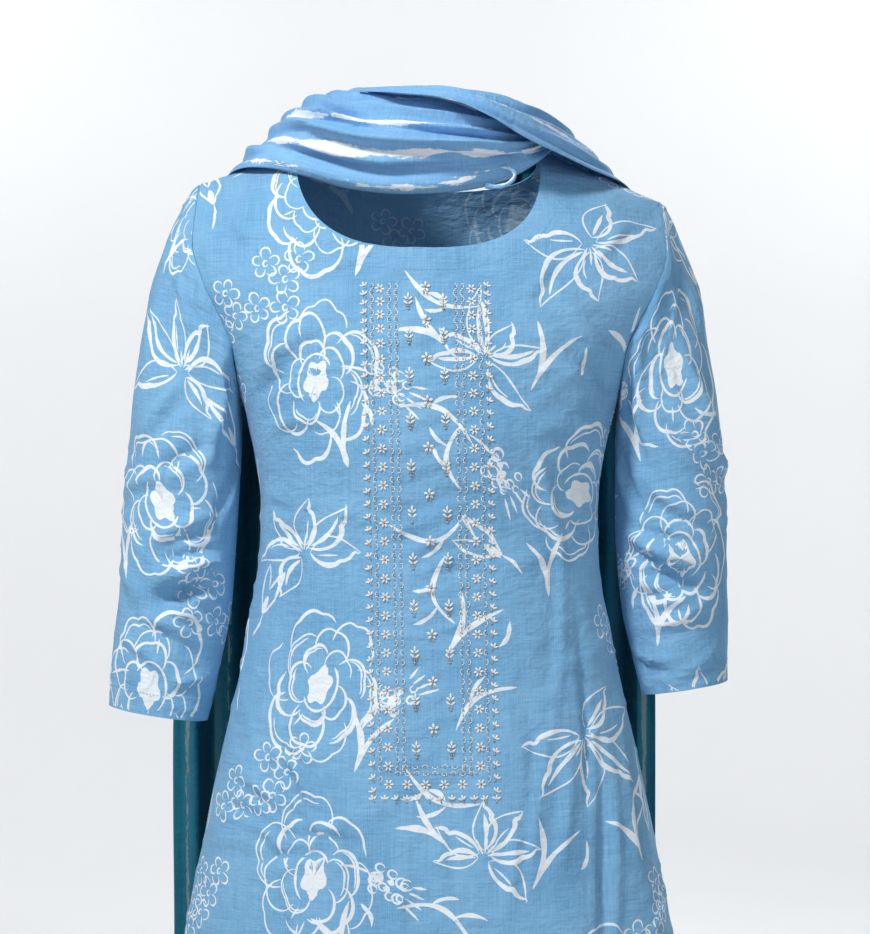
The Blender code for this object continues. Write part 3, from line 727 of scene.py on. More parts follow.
def crease_rise(creases, p, s):
    """How far the creases lift the cloth, each a soft ridge that fades out at its ends."""
    rise = np.zeros_like(p)
    for row in creases:
        turn = math.radians(row[3])
        at_p, at_s, length, _, width, height, bend = [value / 1000 for value in row]
        dp, ds = p - at_p, s - at_s
        along = (dp * math.cos(turn) + ds * math.sin(turn)) / length
        off = -dp * math.sin(turn) + ds * math.cos(turn) - bend * along**2
        fade = np.clip(1 - along**2, 0.0, None) ** 2
        rise += height * fade * ridge(off, width, 0.5, 1.7)
    return CREASE_DEPTH * rise


def puckers(p, s):
    """Small level ripples where the embroidery draws the cloth up."""
    reach = smooth_step((0.058 - np.abs(p)) / 0.02) * smooth_step((s - 0.115) / 0.02)
    reach *= smooth_step((0.570 - s) / 0.02)
    wave = np.sin(s * 2 * math.pi / 0.0195 + 2.2 * np.sin(p * 60.0) + 1.7 * np.sin(s * 31.0))
    slow = np.sin(s * 2 * math.pi / 0.052 - p * 70.0)
    return reach * (PUCKER_HEIGHT * wave + SLOW_PUCKER_HEIGHT * slow)


def crumple(p, s):
    """Short sharp wrinkles of worn cotton, in patches: some nearly level, some nearly upright."""
    warp = 0.012 * np.sin(s * 37.0 + p * 11.0) + 0.008 * np.sin(p * 53.0 - s * 17.0)
    level = 1 - np.abs(np.sin((s + 0.35 * p + warp) * math.pi / 0.031))
    upright = 1 - np.abs(np.sin((0.9 * p - 0.22 * s + 0.7 * warp) * math.pi / 0.043))
    slanted = 1 - np.abs(np.sin((0.6 * p + 0.8 * s - 0.9 * warp) * math.pi / 0.037))
    patches = [
        np.sin(p * 29.0 + 1.3) * np.sin(s * 21.0 + 0.5),
        np.sin(p * 23.0 - 0.7) * np.sin(s * 13.0 + 2.1),
        np.sin(p * 17.0 + 2.6) * np.sin(s * 27.0 - 1.1),
    ]
    rise = np.zeros_like(p)
    for fold, patch in zip((level, upright, slanted), patches):
        rise += CRUMPLE_HEIGHT * fold**3 * np.clip(patch, 0.0, None)
    return rise


def slack(p, s):
    """The cloth's unevenness between its creases."""
    return crumple(p, s) + SLACK_HEIGHT * (
        np.sin(p * 47.0 + 1.3 * np.sin(s * 19.0)) * np.sin(s * 23.0 + 0.9 * np.sin(p * 31.0) + 1.0)
        + 0.5 * np.sin(p * 91.0 + s * 37.0 + 0.7) * np.sin(s * 61.0 - p * 29.0)
    )


# The print: loose flowers in brush lines, drawn by the functions below in flat cloth. Sizes in metres.
LINE_THIN = 0.0011
LINE_THICK = 0.0030
STROKE_STEP = 0.0025
LEAST_HEIGHT = 0.00003
PRINT_MARGIN = 0.0007
SHOWS_INSIDE = 0.24

Motif = namedtuple("Motif", "kind p s size turn")

# One repeat of the print, 0.44 m across and 0.413 m down
REPEAT_ACROSS = 0.440
REPEAT_DOWN = 0.413
PRINT_REPEAT = [
    Motif("peony", -0.096, 0.203, 0.057, 0),
    Motif("peony", -0.093, 0.046, 0.056, 190),
    Motif("peony", 0.142, 0.298, 0.058, 80),
    Motif("lily", -0.108, 0.348, 0.058, 250),
    Motif("lily", 0.136, 0.088, 0.064, 60),
    Motif("lily", 0.046, 0.185, 0.052, 290),
    Motif("seeds", -0.034, 0.207, 0.021, 30),
    Motif("seeds", 0.061, 0.282, 0.021, 60),
    Motif("seeds", -0.028, 0.055, 0.020, 330),
    Motif("leaves", -0.068, 0.276, 0.050, 250),
    Motif("leaves", -0.062, 0.116, 0.050, 285),
    Motif("leaves", 0.086, 0.212, 0.058, 292),
    Motif("leaves", 0.104, 0.385, 0.050, 262),
    Motif("leaves", 0.014, 0.020, 0.056, 300),
    Motif("leaves", 0.196, 0.196, 0.052, 240),
    Motif("leaves", 0.016, 0.176, 0.046, 215),
    Motif("branch", 0.010, 0.130, 0.070, 200),
    Motif("branch", 0.006, 0.238, 0.068, 20),
    Motif("branch", 0.000, 0.322, 0.066, 165),
    Motif("branch", 0.046, 0.062, 0.062, 320),
    Motif("branch", -0.178, 0.300, 0.064, 80),
    Motif("branch", 0.024, 0.268, 0.054, 265),
    Motif("branch", 0.020, 0.378, 0.056, 75),
    Motif("cluster", -0.122, 0.118, 0.0135, 20),
    Motif("cluster", -0.170, 0.148, 0.0130, 70),
    Motif("cluster", 0.186, 0.012, 0.0140, 120),
    Motif("cluster", 0.206, 0.256, 0.0125, 10),
    Motif("cluster", -0.206, 0.224, 0.0125, 45),
    Motif("arrow", -0.192, 0.046, 0.052, 260),
    Motif("arrow", 0.208, 0.126, 0.050, 100),
    Motif("arrow", 0.062, 0.350, 0.046, 215),
    Motif("arrow", -0.160, 0.402, 0.046, 300),
]


class Ink:
    """Triangles of brush strokes in flat cloth, all anticlockwise."""

    def __init__(self, seed):
        self.dice = random.Random(seed)
        self.points = []
        self.triangles = []

    def add(self, points, triangles):
        start = len(self.points)
        self.points += [tuple(point) for point in points]
        for a, b, c in triangles:
            (ax, ay), (bx, by), (cx, cy) = points[a], points[b], points[c]
            twice = (bx - ax) * (cy - ay) - (cx - ax) * (by - ay)
            edges = ((bx - ax, by - ay), (cx - bx, cy - by), (ax - cx, ay - cy))
            longest = max(math.hypot(*edge) for edge in edges)
            if abs(twice) > LEAST_HEIGHT * longest:
                order = (a, b, c) if twice > 0 else (a, c, b)
                self.triangles.append([start + corner for corner in order])

    def stroke(self, points, thin, thick):
        """A brush line through the points: thin at its ends, thick somewhere along it."""
        points = np.asarray(points, float)
        along = lengths_along(points)
        if along[-1] < 1e-5:
            return
        count = max(4, round(along[-1] / STROKE_STEP) + 1)
        at = np.linspace(0.0, along[-1], count)
        line = flat_point(points, along, at)
        side = to_left(np.gradient(line, axis=0))
        share = at / along[-1]
        bias = self.dice.uniform(0.6, 1.5)
        body = np.sin(math.pi * share**bias) ** 0.8
        wobble = 1 + 0.16 * np.sin(share * self.dice.uniform(9, 16) + self.dice.uniform(0, 6))
        half = (thin + (thick - thin) * body) / 2 * wobble
        half *= np.minimum(1.0, 0.35 + np.minimum(share, 1 - share) * count / 2.5)
        both = np.concatenate([line + side * half[:, None], line - side * half[:, None]])
        triangles = []
        for i in range(count - 1):
            triangles.append((i, i + 1, count + i))
            triangles.append((i + 1, count + i + 1, count + i))
        self.add(both, triangles)

    def blob(self, outline):
        """A filled shape whose outline is seen whole from its middle."""
        outline = np.asarray(outline, float)
        count = len(outline)
        points = np.concatenate([[outline.mean(axis=0)], outline])
        self.add(points, [(0, 1 + i, 1 + (i + 1) % count) for i in range(count)])

    def draw(self, motif, line, thick, thin=1.0, lean=0):
        """A brush line in a motif's own frame, thick and thin as shares of the print's two widths."""
        points = turned(line, (motif.p, motif.s), motif.turn + lean, motif.size)
        self.stroke(points, LINE_THIN * thin, LINE_THICK * thick)

    def fill(self, motif, outline, lean=0):
        self.blob(turned(outline, (motif.p, motif.s), motif.turn + lean, motif.size))


def turned(points, centre, degrees, size=1.0):
    turn = math.radians(degrees)
    points = np.asarray(points, float) * size
    x = points[:, 0] * math.cos(turn) - points[:, 1] * math.sin(turn)
    y = points[:, 0] * math.sin(turn) + points[:, 1] * math.cos(turn)
    return np.stack([x + centre[0], y + centre[1]], axis=-1)


def petal(inner, outer, start, end, lobes, depth, dice):
    """Outline of a round ruffled petal between two angles in degrees, from the inner radius out and back."""
    share = np.linspace(0.0, 1.0, 36)
    angle = np.radians(start + (end - start) * share)
    reach = np.sin(math.pi * share) ** 0.5
    ruffle = 1 - depth * (1 - np.abs(np.sin(math.pi * lobes * share + dice.uniform(-0.3, 0.3))))
    radius = inner + (outer - inner) * reach * ruffle
    return np.stack([radius * np.cos(angle), radius * np.sin(angle)], axis=-1)


def draw_peony(ink, motif):
    """Ruffled petals in rings, taller than wide, round a filled heart."""
    dice = ink.dice
    tall = [0.88, 1.12]
    angle = dice.uniform(0, 60)
    rings = [(0.70, 1.06, 6, 3), (0.52, 0.84, 6, 2), (0.33, 0.58, 5, 2)]
    for ring, (inner, outer, count, lobes) in enumerate(rings):
        start = angle + ring * 33
        step = 360 / count
        for k in range(count):
            reach = outer * dice.uniform(0.88, 1.10)
            a = start + k * step - dice.uniform(0.06, 0.26) * step
            b = start + (k + 1) * step + dice.uniform(-0.04, 0.12) * step
            line = petal(inner * dice.uniform(0.82, 1.0), reach, a, b, lobes, dice.uniform(0.07, 0.17), dice)
            keep = line[: dice.choice([36, 36, 32, 28])]
            ink.draw(motif, keep * tall, dice.choice([0.5, 0.7, 0.9, 1.2]))
            if dice.random() < 0.35:
                ink.draw(motif, keep[4:26] * dice.uniform(0.90, 0.94) * tall, 0.5, 0.8)
        if ring == 1:
            a = start + dice.uniform(0, 360)
            spiral = [(r, math.radians(a + 12 * r)) for r in np.linspace(inner * 0.9, outer * 0.78, 8)]
            vein = [(r * math.cos(turn), r * math.sin(turn)) for r, turn in spiral]
            ink.draw(motif, np.array(vein) * tall, 0.6, 0.9)
    turns = np.linspace(0.0, 2 * math.pi, 44, endpoint=False)
    torn = [0.14 * dice.random() if math.cos(t - 0.4) > 0 else 0.03 for t in turns]
    jag = np.array([1 + 0.16 * math.sin(5 * t + 1) + tear for t, tear in zip(turns, torn)])
    heart = np.stack([0.17 * jag * np.cos(turns), 0.27 * jag * np.sin(turns)], axis=-1)
    ink.fill(motif, heart, 12)
    for k in range(3):
        bow = [(0.26 * math.cos(t) - 0.02, 0.38 * math.sin(t)) for t in np.linspace(2.0 + k, 3.6 + k, 12)]
        ink.draw(motif, bow, 0.7, lean=10)


def draw_lily(ink, motif):
    """Long pointed petals with notched tips, each thick on one side and thin on the other, and veined."""
    dice = ink.dice
    for k in range(6):
        leaf = motif._replace(turn=motif.turn + (k - 2.5) * 47 + dice.uniform(-9, 9))
        reach = dice.uniform(0.86, 1.22) * (1.0 if k % 3 else 0.8)
        wide = dice.uniform(0.15, 0.25)
        bend = dice.uniform(-0.12, 0.12)
        share = np.linspace(0.0, 1.0, 20)
        spine = bend * share * (1 - share) * 4
        teeth = np.maximum(0.0, np.sin(share * 21.0 + dice.uniform(0, 6)))
        notch = 0.05 * teeth * smooth_step((share - 0.45) * 4)
        for side in (-1, 1):
            bulge = side * (wide * np.sin(math.pi * share**0.85) * (1 - 0.35 * share) - notch * (side > 0))
            line = np.stack([0.10 + (reach - 0.10) * share, spine + bulge], axis=-1)
            ink.draw(leaf, line, 1.35 if side > 0 else 0.5, 0.8)
        vein = np.stack([0.14 + (reach - 0.35) * share, spine + 0.03 * np.sin(3 * share)], axis=-1)
        if k % 2 == 0:
            ink.draw(leaf, vein, 1.3)
        else:
            ink.draw(leaf, vein[3:15] + [0.0, 0.04], 0.5)
    for k in range(4):
        a = math.radians(motif.turn + 35 * (k - 1.5))
        reach = dice.uniform(0.26, 0.34)
        thread = [(r * math.cos(a + 0.4 * r), r * math.sin(a + 0.4 * r)) for r in (0.05, 0.15, reach)]
        ink.draw(motif._replace(turn=0), thread, 0.7)


def draw_leaves(ink, motif):
    """Two long leaves from one root, and often a third one that stands by them."""
    share = np.linspace(0.0, 1.0, 16)
    for off, reach, bow, thick in ((-17, 1.0, 0.13, 1.75), (22, 1.10, -0.10, 1.45)):
        ink.draw(motif, np.stack([reach * share, bow * np.sin(math.pi * share)], axis=-1), thick, lean=off)
    if ink.dice.random() < 0.7:
        share = np.linspace(0.0, 1.0, 10)
        ink.draw(motif, np.stack([0.5 + 0.42 * share, 0.62 + 0.05 * np.sin(4 * share)], axis=-1), 1.35)


def draw_branch(ink, motif):
    """A broad bent stroke with one or two side strokes, like a twig."""
    dice = ink.dice
    share = np.linspace(0.0, 1.0, 20)
    bow = dice.choice([-1, 1]) * dice.uniform(0.16, 0.30)
    spine = np.stack([share - 0.5, bow * np.sin(math.pi * share) + 0.10 * share], axis=-1)
    ink.draw(motif, spine, 1.35)
    for at in (7, 13)[: dice.choice([1, 2, 2])]:
        turn = math.radians(dice.uniform(35, 70)) * (1 if bow > 0 else -1)
        reach = dice.uniform(0.28, 0.46)
        steps = np.linspace(0.0, 1.0, 9)[:, None]
        heading = turn + 0.5 * steps
        ink.draw(motif, spine[at] + reach * steps * np.hstack([np.cos(heading), np.sin(heading)]), 1.1)


def draw_seeds(ink, motif):
    """An oval head of scribbled seeds, with short hairs at one end."""
    dice = ink.dice
    for _ in range(15):
        a, r = dice.uniform(0, 2 * math.pi), math.sqrt(dice.random())
        x, y = 0.95 * r * math.cos(a), 0.62 * r * math.sin(a)
        radius = dice.uniform(0.16, 0.26)
        turns = np.linspace(0.0, dice.uniform(4.6, 6.4), 11)
        ink.draw(motif, [(x + radius * math.cos(t), y + 0.8 * radius * math.sin(t)) for t in turns], 0.6, 0.9)
    for _ in range(4):
        a, r = dice.uniform(0, 2 * math.pi), 0.5 * dice.random()
        x, y = r * math.cos(a), 0.6 * r * math.sin(a)
        turns = np.linspace(0.0, 2 * math.pi, 9, endpoint=False)
        spot = [(x + 0.15 * math.cos(t) * (1 + 0.3 * math.sin(3 * t)), y + 0.12 * math.sin(t)) for t in turns]
        ink.fill(motif, spot)
    for k in range(4):
        ink.draw(motif, [(0.9, 0.25 * (k - 1.5)), (1.45 + 0.1 * k, 0.4 * (k - 1.5))], 0.7)
    ink.draw(motif, [(-0.9 - 1.1 * t, 0.35 * t * t) for t in np.linspace(0.0, 1.0, 8)], 0.8)


def draw_cluster(ink, motif):
    """Small blossoms of five round petals, close together, in lines that are thin all along."""
    dice = ink.dice
    for k in range(4):
        a = math.radians(motif.turn + 90 * k + dice.uniform(-20, 20))
        away = motif.size * (0.0 if k == 0 else dice.uniform(1.5, 1.9))
        centre = (motif.p + away * math.cos(a), motif.s + away * math.sin(a))
        turn = dice.uniform(0, 72)
        for leaf in range(5):
            start = turn + 72 * leaf
            line = petal(0.36, dice.uniform(0.88, 1.08), start + 2, start + 70, 1, 0.02, dice)[::3]
            ink.stroke(turned(line, centre, 0, motif.size), LINE_THIN * 0.75, LINE_THIN * 1.5)
        eye = [(0.17 * math.cos(t), 0.22 * math.sin(t)) for t in np.linspace(0.0, 5.5, 9)]
        ink.stroke(turned(eye, centre, turn, motif.size), LINE_THIN * 0.8, LINE_THIN * 1.7)


def draw_arrow(ink, motif):
    """A half-open bud: two sharp sepals and a filled patch between them."""
    for line, thick in (
        ([(0.0, 0.0), (0.45, 0.20), (1.0, 0.16), (0.70, 0.02), (0.50, -0.06)], 1.2),
        ([(0.0, 0.0), (0.30, -0.24), (0.62, -0.34), (0.92, -0.30)], 0.8),
        ([(0.50, -0.06), (0.74, -0.16), (0.92, -0.30)], 0.6),
        ([(-0.50, -0.06), (-0.2, 0.02), (0.0, 0.0)], 1.0),
    ):
        ink.draw(motif, line, thick)
    turns = np.linspace(0.0, 2 * math.pi, 16, endpoint=False)
    widths = [0.17 * math.cos(t) * (1 + 0.25 * ink.dice.random()) for t in turns]
    ink.fill(motif, [(0.20 + width, -0.03 + 0.07 * math.sin(t)) for width, t in zip(widths, turns)])


DRAW = {
    "peony": draw_peony,
    "lily": draw_lily,
    "leaves": draw_leaves,
    "branch": draw_branch,
    "seeds": draw_seeds,
    "cluster": draw_cluster,
    "arrow": draw_arrow,
}


def print_cloth(outline, offset, seed):
    """The print's ink over a piece of cloth, its repeat set off by offset."""
    ink = Ink(seed)
    low, high = outline.min(axis=0) - 0.07, outline.max(axis=0) + 0.07
    for row in range(-3, 4):
        for column in range(-2, 3):
            for motif in PRINT_REPEAT:
                p = motif.p + offset[0] + column * REPEAT_ACROSS
                s = motif.s + offset[1] + row * REPEAT_DOWN
                if low[0] < p < high[0] and low[1] < s < high[1]:
                    DRAW[motif.kind](ink, motif._replace(p=p, s=s))
    return ink


def inside(outline, points):
    """Which points lie inside the outline, by counting the edges to one side."""
    ends = np.roll(outline, -1, axis=0)
    hits = np.zeros(len(points), int)
    for (ax, ay), (bx, by) in zip(outline, ends):
        if ay == by:
            continue
        spans = (points[:, 1] >= min(ay, by)) & (points[:, 1] < max(ay, by))
        hits += spans & (points[:, 0] < ax + (points[:, 1] - ay) / (by - ay) * (bx - ax))
    return hits % 2 == 1


def inset(outline, margin):
    """The outline, which runs anticlockwise in (p, s), moved in by margin."""
    return outline + margin * to_left(np.roll(outline, -1, axis=0) - np.roll(outline, 1, axis=0))


def under_ink(middles, corners):
    """Which middles lie in one of the ink's triangles, given by their corners, anticlockwise."""
    order = np.argsort(middles[:, 1])
    levels = middles[order, 1]
    first = np.searchsorted(levels, corners[:, :, 1].min(axis=1))
    last = np.searchsorted(levels, corners[:, :, 1].max(axis=1))
    marks = np.zeros(len(middles), bool)
    for (a, b, c), start, stop in zip(corners, first, last):
        near = order[start:stop]
        x, y = middles[near].T
        hit = (b[0] - a[0]) * (y - a[1]) >= (b[1] - a[1]) * (x - a[0])
        hit &= (c[0] - b[0]) * (y - b[1]) >= (c[1] - b[1]) * (x - b[0])
        hit &= (a[0] - c[0]) * (y - c[1]) >= (a[1] - c[1]) * (x - c[0])
        marks[near[hit]] = True
    return marks


def cut_cloth(outline, spacing, ink=None, ink_to=9.0):
    """Triangles of a flat piece of cloth: its points, the triangles, and which of them are inked.

    The outline's points come first. Ink further down than ink_to is left out."""
    core = inset(outline, spacing * 0.55)
    low, high = outline.min(axis=0), outline.max(axis=0)
    across, down = (np.arange(low[axis], high[axis], spacing) for axis in (0, 1))
    grid = np.stack(np.meshgrid(across, down), axis=-1)
    grid[1::2, :, 0] += spacing / 2
    grid = grid.reshape(-1, 2)
    grid = grid[inside(core, grid)]
    points = [tuple(point) for point in outline] + [tuple(point) for point in grid]
    faces = [list(range(len(outline)))]
    if ink is not None:
        spots = np.array(ink.points)
        kept = inside(inset(outline, PRINT_MARGIN), spots) & (spots[:, 1] < ink_to)
        start = len(points)
        used = [triangle for triangle in ink.triangles if kept[triangle].all()]
        number = {}
        for triangle in used:
            for corner in triangle:
                if corner not in number:
                    number[corner] = start + len(number)
                    points.append(ink.points[corner])
        faces += [[number[corner] for corner in triangle] for triangle in used]
    result = delaunay_2d_cdt([Vector(point) for point in points], [], faces, 0, 1e-6, True)
    flat = np.array([tuple(point) for point in result[0]])
    triangles = np.array(result[2])
    triangles = triangles[inside(outline, flat[triangles].mean(axis=1))]
    inked = np.zeros(len(triangles), bool)
    if ink is not None:
        inked = under_ink(flat[triangles].mean(axis=1), spots[np.array(used)])
    place = {}
    for index, source in enumerate(result[3]):
        for old in source:
            if old < len(outline):
                place[old] = index
    rim = [place[index] for index in range(len(outline))]
    order = np.concatenate([rim, np.setdiff1d(np.arange(len(flat)), rim)])
    renumber = np.empty(len(flat), int)
    renumber[order] = np.arange(len(flat))
    return flat[order], renumber[triangles], inked


def point_normals(places, triangles):
    a, b, c = (places[triangles[:, corner]] for corner in range(3))
    face = np.cross(b - a, c - a)
    normals = np.zeros_like(places)
    for corner in range(3):
        np.add.at(normals, triangles[:, corner], face)
    return unit(normals)


def shell(name, place, rise, outline, ink, spacing, thickness, materials, tube=None):
    """A piece of sewn cloth: printed outer face, plain inner face, and the cut edge between them.

    place maps flat points to the body, rise is the creases' height, and tube, for a sleeve, is the range of
    outline points along its seam, which meet those on the other side."""
    outer_flat, outer, inked = cut_cloth(outline, spacing, ink)
    shown = ink if len(materials) > 3 else None
    inner_flat, inner, inner_inked = cut_cloth(outline, spacing * 1.2, shown, SHOWS_INSIDE)
    rim = len(outline)

    def lifted(flat, triangles, depth):
        places = place(flat[:, 0], flat[:, 1])
        normals = point_normals(places, triangles)
        if tube is not None:
            one, other = tube
            both = unit(normals[one] + normals[other])
            normals[one] = both
            normals[other] = both
        outward = np.sign((normals * (places - places.mean(axis=0)) * [1.0, 1.0, 0.0]).sum())
        return places + normals * outward * (rise(flat[:, 0], flat[:, 1]) - depth)[:, None], outward

    outer_places, outward = lifted(outer_flat, outer, 0.0)
    inner_places, _ = lifted(inner_flat, inner, thickness)
    if outward < 0:
        outer = outer[:, ::-1]
        inner = inner[:, ::-1]
    count = len(outer_places)
    edges = [(i, (i + 1) % rim) for i in range(rim)]
    if tube is not None:
        seam = set(tube[0]) | set(tube[1])
        edges = [(a, b) for a, b in edges if not (a in seam and b in seam)]
    rims = [(a, b, count + b, count + a) if outward < 0 else (b, a, count + a, count + b) for a, b in edges]
    points = np.concatenate([outer_places, inner_places])
    flat = np.concatenate([outer_flat, inner_flat])
    faces = [tuple(map(int, triangle)) for triangle in outer]
    faces += [tuple(int(count + corner) for corner in triangle[::-1]) for triangle in inner]
    slots = [1 if mark else 0 for mark in inked] + [3 if mark else 2 for mark in inner_inked]
    faces += rims
    slots += [0] * len(rims)
    loops_flat = [[flat[corner] for corner in face] for face in faces]
    if tube is not None:
        merge = {int(other): int(one) for one, other in zip(*tube)}
        merge.update({count + other: count + one for other, one in list(merge.items())})
        faces = [tuple(merge.get(corner, corner) for corner in face) for face in faces]
    return cloth_object(name, points, faces, loops_flat, slots, materials)


def add_object(name, data):
    obj = bpy.data.objects.new(name, data)
    bpy.context.scene.collection.objects.link(obj)
    return obj


def cloth_object(name, points, faces, loops_flat, slots, materials):
    """A mesh of cloth, without points that no face uses, and with its flat cloth as UVs in metres."""
    mesh = bpy.data.meshes.new(name)
    mesh.from_pydata(points.tolist(), [], faces)
    layer = mesh.uv_layers.new(name="cloth")
    layer.data.foreach_set("uv", np.array([uv for face in loops_flat for uv in face], np.float32).ravel())
    mesh.polygons.foreach_set("material_index", slots)
    for material in materials:
        mesh.materials.append(material)
    mesh.shade_smooth()
    mesh.set_sharp_from_angle(angle=SHARP_ANGLE)
    work = bmesh.new()
    work.from_mesh(mesh)
    loose = [point for point in work.verts if not point.link_faces]
    if loose:
        bmesh.ops.delete(work, geom=loose, context="VERTS")
        work.to_mesh(mesh)
    work.free()
    return add_object(name, mesh)


def store_streak(cloth, reach):
    """Stores how far each point lies inside a streak, in millimetres, for the cotton's material."""
    values = cloth.data.attributes.new("streak", "FLOAT", "POINT")
    values.data.foreach_set("value", reach.astype(np.float32).ravel())


def ring_faces(rings, sides, first=0):
    """Quads between rings of points, whose numbers start at first."""
    return [
        (ring + k, ring + (k + 1) % sides, ring + sides + (k + 1) % sides, ring + sides + k)
        for ring in range(first, first + (rings - 1) * sides, sides)
        for k in range(sides)
    ]


# Materials
SHARP_ANGLE = math.radians(62)
INK_WHITE = (0.80, 0.85, 0.88, 1.0)
INK_SHADE = (0.66, 0.73, 0.80, 1.0)
KURTI_LIGHT = (0.235, 0.470, 0.710, 1.0)
KURTI_DARK = (0.110, 0.300, 0.520, 1.0)
DUPATTA_LIGHT = (0.250, 0.490, 0.780, 1.0)
DUPATTA_DARK = (0.130, 0.330, 0.600, 1.0)
# Painted shade: the dupatta tails' reverse face hangs forward in the shade between the arms and the body. It
# is coloured dark teal, with grey-teal streaks, to stand in for that shade. The real cloth is light blue with
# white streaks on both faces.
PAINTED_SHADE_TEAL_LIGHT = (0.012, 0.150, 0.225, 1.0)
PAINTED_SHADE_TEAL_DARK = (0.005, 0.088, 0.140, 1.0)
PAINTED_SHADE_STREAK = (0.150, 0.250, 0.270, 1.0)
STREAK_WHITE = (0.800, 0.850, 0.900, 1.0)
THREAD_WHITE = (0.880, 0.890, 0.880, 1.0)
SILVER = (0.420, 0.420, 0.400, 1.0)
REVERSE_LIGHT = (0.220, 0.440, 0.660, 1.0)
REVERSE_DARK = (0.150, 0.340, 0.550, 1.0)
REVERSE_INK = (0.420, 0.580, 0.720, 1.0)
REVERSE_INK_SHADE = (0.340, 0.520, 0.680, 1.0)
SEWING_BLUE = (0.200, 0.420, 0.660, 1.0)
STUDIO_PAPER = (0.800, 0.810, 0.820, 1.0)


def set_socket(tree, socket, value):
    if isinstance(value, bpy.types.NodeSocket):
        tree.links.new(value, socket)
    else:
        socket.default_value = value


def add_node(tree, kind, settings=(), **inputs):
    """A node with its settings and inputs, an input being named, or numbered with a leading underscore."""
    node = tree.nodes.new(kind)
    for key, value in dict(settings).items():
        setattr(node, key, value)
    for key, value in inputs.items():
        set_socket(tree, node.inputs[int(key[1:]) if key[0] == "_" else key], value)
    return node


def new_material(name, **values):
    """A Principled material: itself, its tree and its shader, with the shader's values by name."""
    material = bpy.data.materials.new(name)
    material.use_nodes = True
    shader = material.node_tree.nodes["Principled BSDF"]
    for key, value in values.items():
        shader.inputs[key].default_value = value
    return material, material.node_tree, shader


def stretched_noise(tree, flat, across, down, detail, roughness=0.6):
    """Noise in flat cloth, across and down giving how often it changes in a metre."""
    scale = (across, down, 1.0)
    scaled = add_node(tree, "ShaderNodeVectorMath", {"operation": "MULTIPLY"}, _0=flat, _1=scale)
    settings = {"noise_dimensions": "2D"}
    inputs = {"Vector": scaled.outputs[0], "Scale": 1.0, "Detail": detail, "Roughness": roughness}
    return add_node(tree, "ShaderNodeTexNoise", settings, **inputs).outputs[0]


def math_node(tree, operation, first, second=0.5, third=0.5):
    node = add_node(tree, "ShaderNodeMath", {"operation": operation}, _0=first, _1=second, _2=third)
    return node.outputs[0]


def mix_colours(tree, share, first, second):
    node = add_node(tree, "ShaderNodeMix", {"data_type": "RGBA"})
    for number, value in ((0, share), (6, first), (7, second)):
        set_socket(tree, node.inputs[number], value)
    return node.outputs[2]


def ramp(tree, value, low, high):
    settings = {"interpolation_type": "SMOOTHSTEP"}
    return add_node(tree, "ShaderNodeMapRange", settings, _0=value, _1=low, _2=high).outputs[0]


def slub_cotton(name, light, dark, bump=0.35, streak_colour=None, slub=1.0):
    """Slub cotton: uneven thick threads both ways, a fine weave, and, if asked, torn-edged streaks where the
    mesh's streak value is above nought."""
    looks = {"Roughness": 0.88, "Specular IOR Level": 0.15, "Sheen Weight": 0.08, "Sheen Roughness": 0.5}
    material, tree, shader = new_material(name, **looks)
    flat = add_node(tree, "ShaderNodeUVMap", {"uv_map": "cloth"}).outputs[0]
    warp = stretched_noise(tree, flat, 1100.0, 26.0, 3.0)
    weft = stretched_noise(tree, flat, 30.0, 1250.0, 3.0)
    grain = stretched_noise(tree, flat, 2600.0, 2600.0, 1.0)
    cloud = stretched_noise(tree, flat, 14.0, 11.0, 4.0, 0.55)
    threads = math_node(tree, "ADD", warp, weft)
    uneven = math_node(tree, "MULTIPLY_ADD", threads, 0.62 * slub, 0.30 - 0.62 * slub)
    uneven = math_node(tree, "MULTIPLY_ADD", cloud, 0.55, uneven)
    uneven = math_node(tree, "MULTIPLY_ADD", grain, 0.25, uneven)
    colour = mix_colours(tree, ramp(tree, uneven, 0.25, 1.05), dark, light)
    if streak_colour:
        reach = add_node(tree, "ShaderNodeAttribute", {"attribute_name": "streak"}).outputs[2]
        torn = stretched_noise(tree, flat, 420.0, 90.0, 5.0, 0.7)
        torn = math_node(tree, "MULTIPLY_ADD", torn, 7.0, -3.5)
        fibres = math_node(tree, "MULTIPLY_ADD", warp, 3.0, -1.5)
        edge = math_node(tree, "ADD", math_node(tree, "ADD", reach, torn), fibres)
        colour = mix_colours(tree, ramp(tree, edge, -0.35, 0.35), colour, streak_colour)
    tree.links.new(colour, shader.inputs["Base Color"])
    height = math_node(tree, "MULTIPLY_ADD", threads, 0.5, math_node(tree, "MULTIPLY", grain, 0.35))
    wrinkle = stretched_noise(tree, flat, 38.0, 62.0, 3.0, 0.6)
    sharp = math_node(tree, "ABSOLUTE", math_node(tree, "SUBTRACT", wrinkle, 0.5))
    crush = add_node(tree, "ShaderNodeBump", {"invert": True}, Strength=0.32, Distance=0.010, Height=sharp)
    relief = {"Strength": bump, "Distance": 0.0006, "Height": height, "Normal": crush.outputs[0]}
    tree.links.new(add_node(tree, "ShaderNodeBump", **relief).outputs[0], shader.inputs["Normal"])
    return material


def thread_material(name, colour, roughness, metallic=0.0, sheen=0.0):
    """Thread or metal thread with a fine twist."""
    looks = {"Roughness": roughness, "Metallic": metallic, "Sheen Weight": sheen}
    material, tree, shader = new_material(name, **looks)
    place = add_node(tree, "ShaderNodeTexCoord").outputs["Object"]
    twist = add_node(tree, "ShaderNodeTexNoise", Vector=place, Scale=1400.0, Detail=2.0).outputs[0]
    darker = tuple(0.72 * value for value in colour[:3]) + (1.0,)
    shade = mix_colours(tree, ramp(tree, twist, 0.25, 0.75), darker, colour)
    tree.links.new(shade, shader.inputs["Base Color"])
    relief = add_node(tree, "ShaderNodeBump", Strength=0.4, Distance=0.0004, Height=twist)
    tree.links.new(relief.outputs[0], shader.inputs["Normal"])
    return material


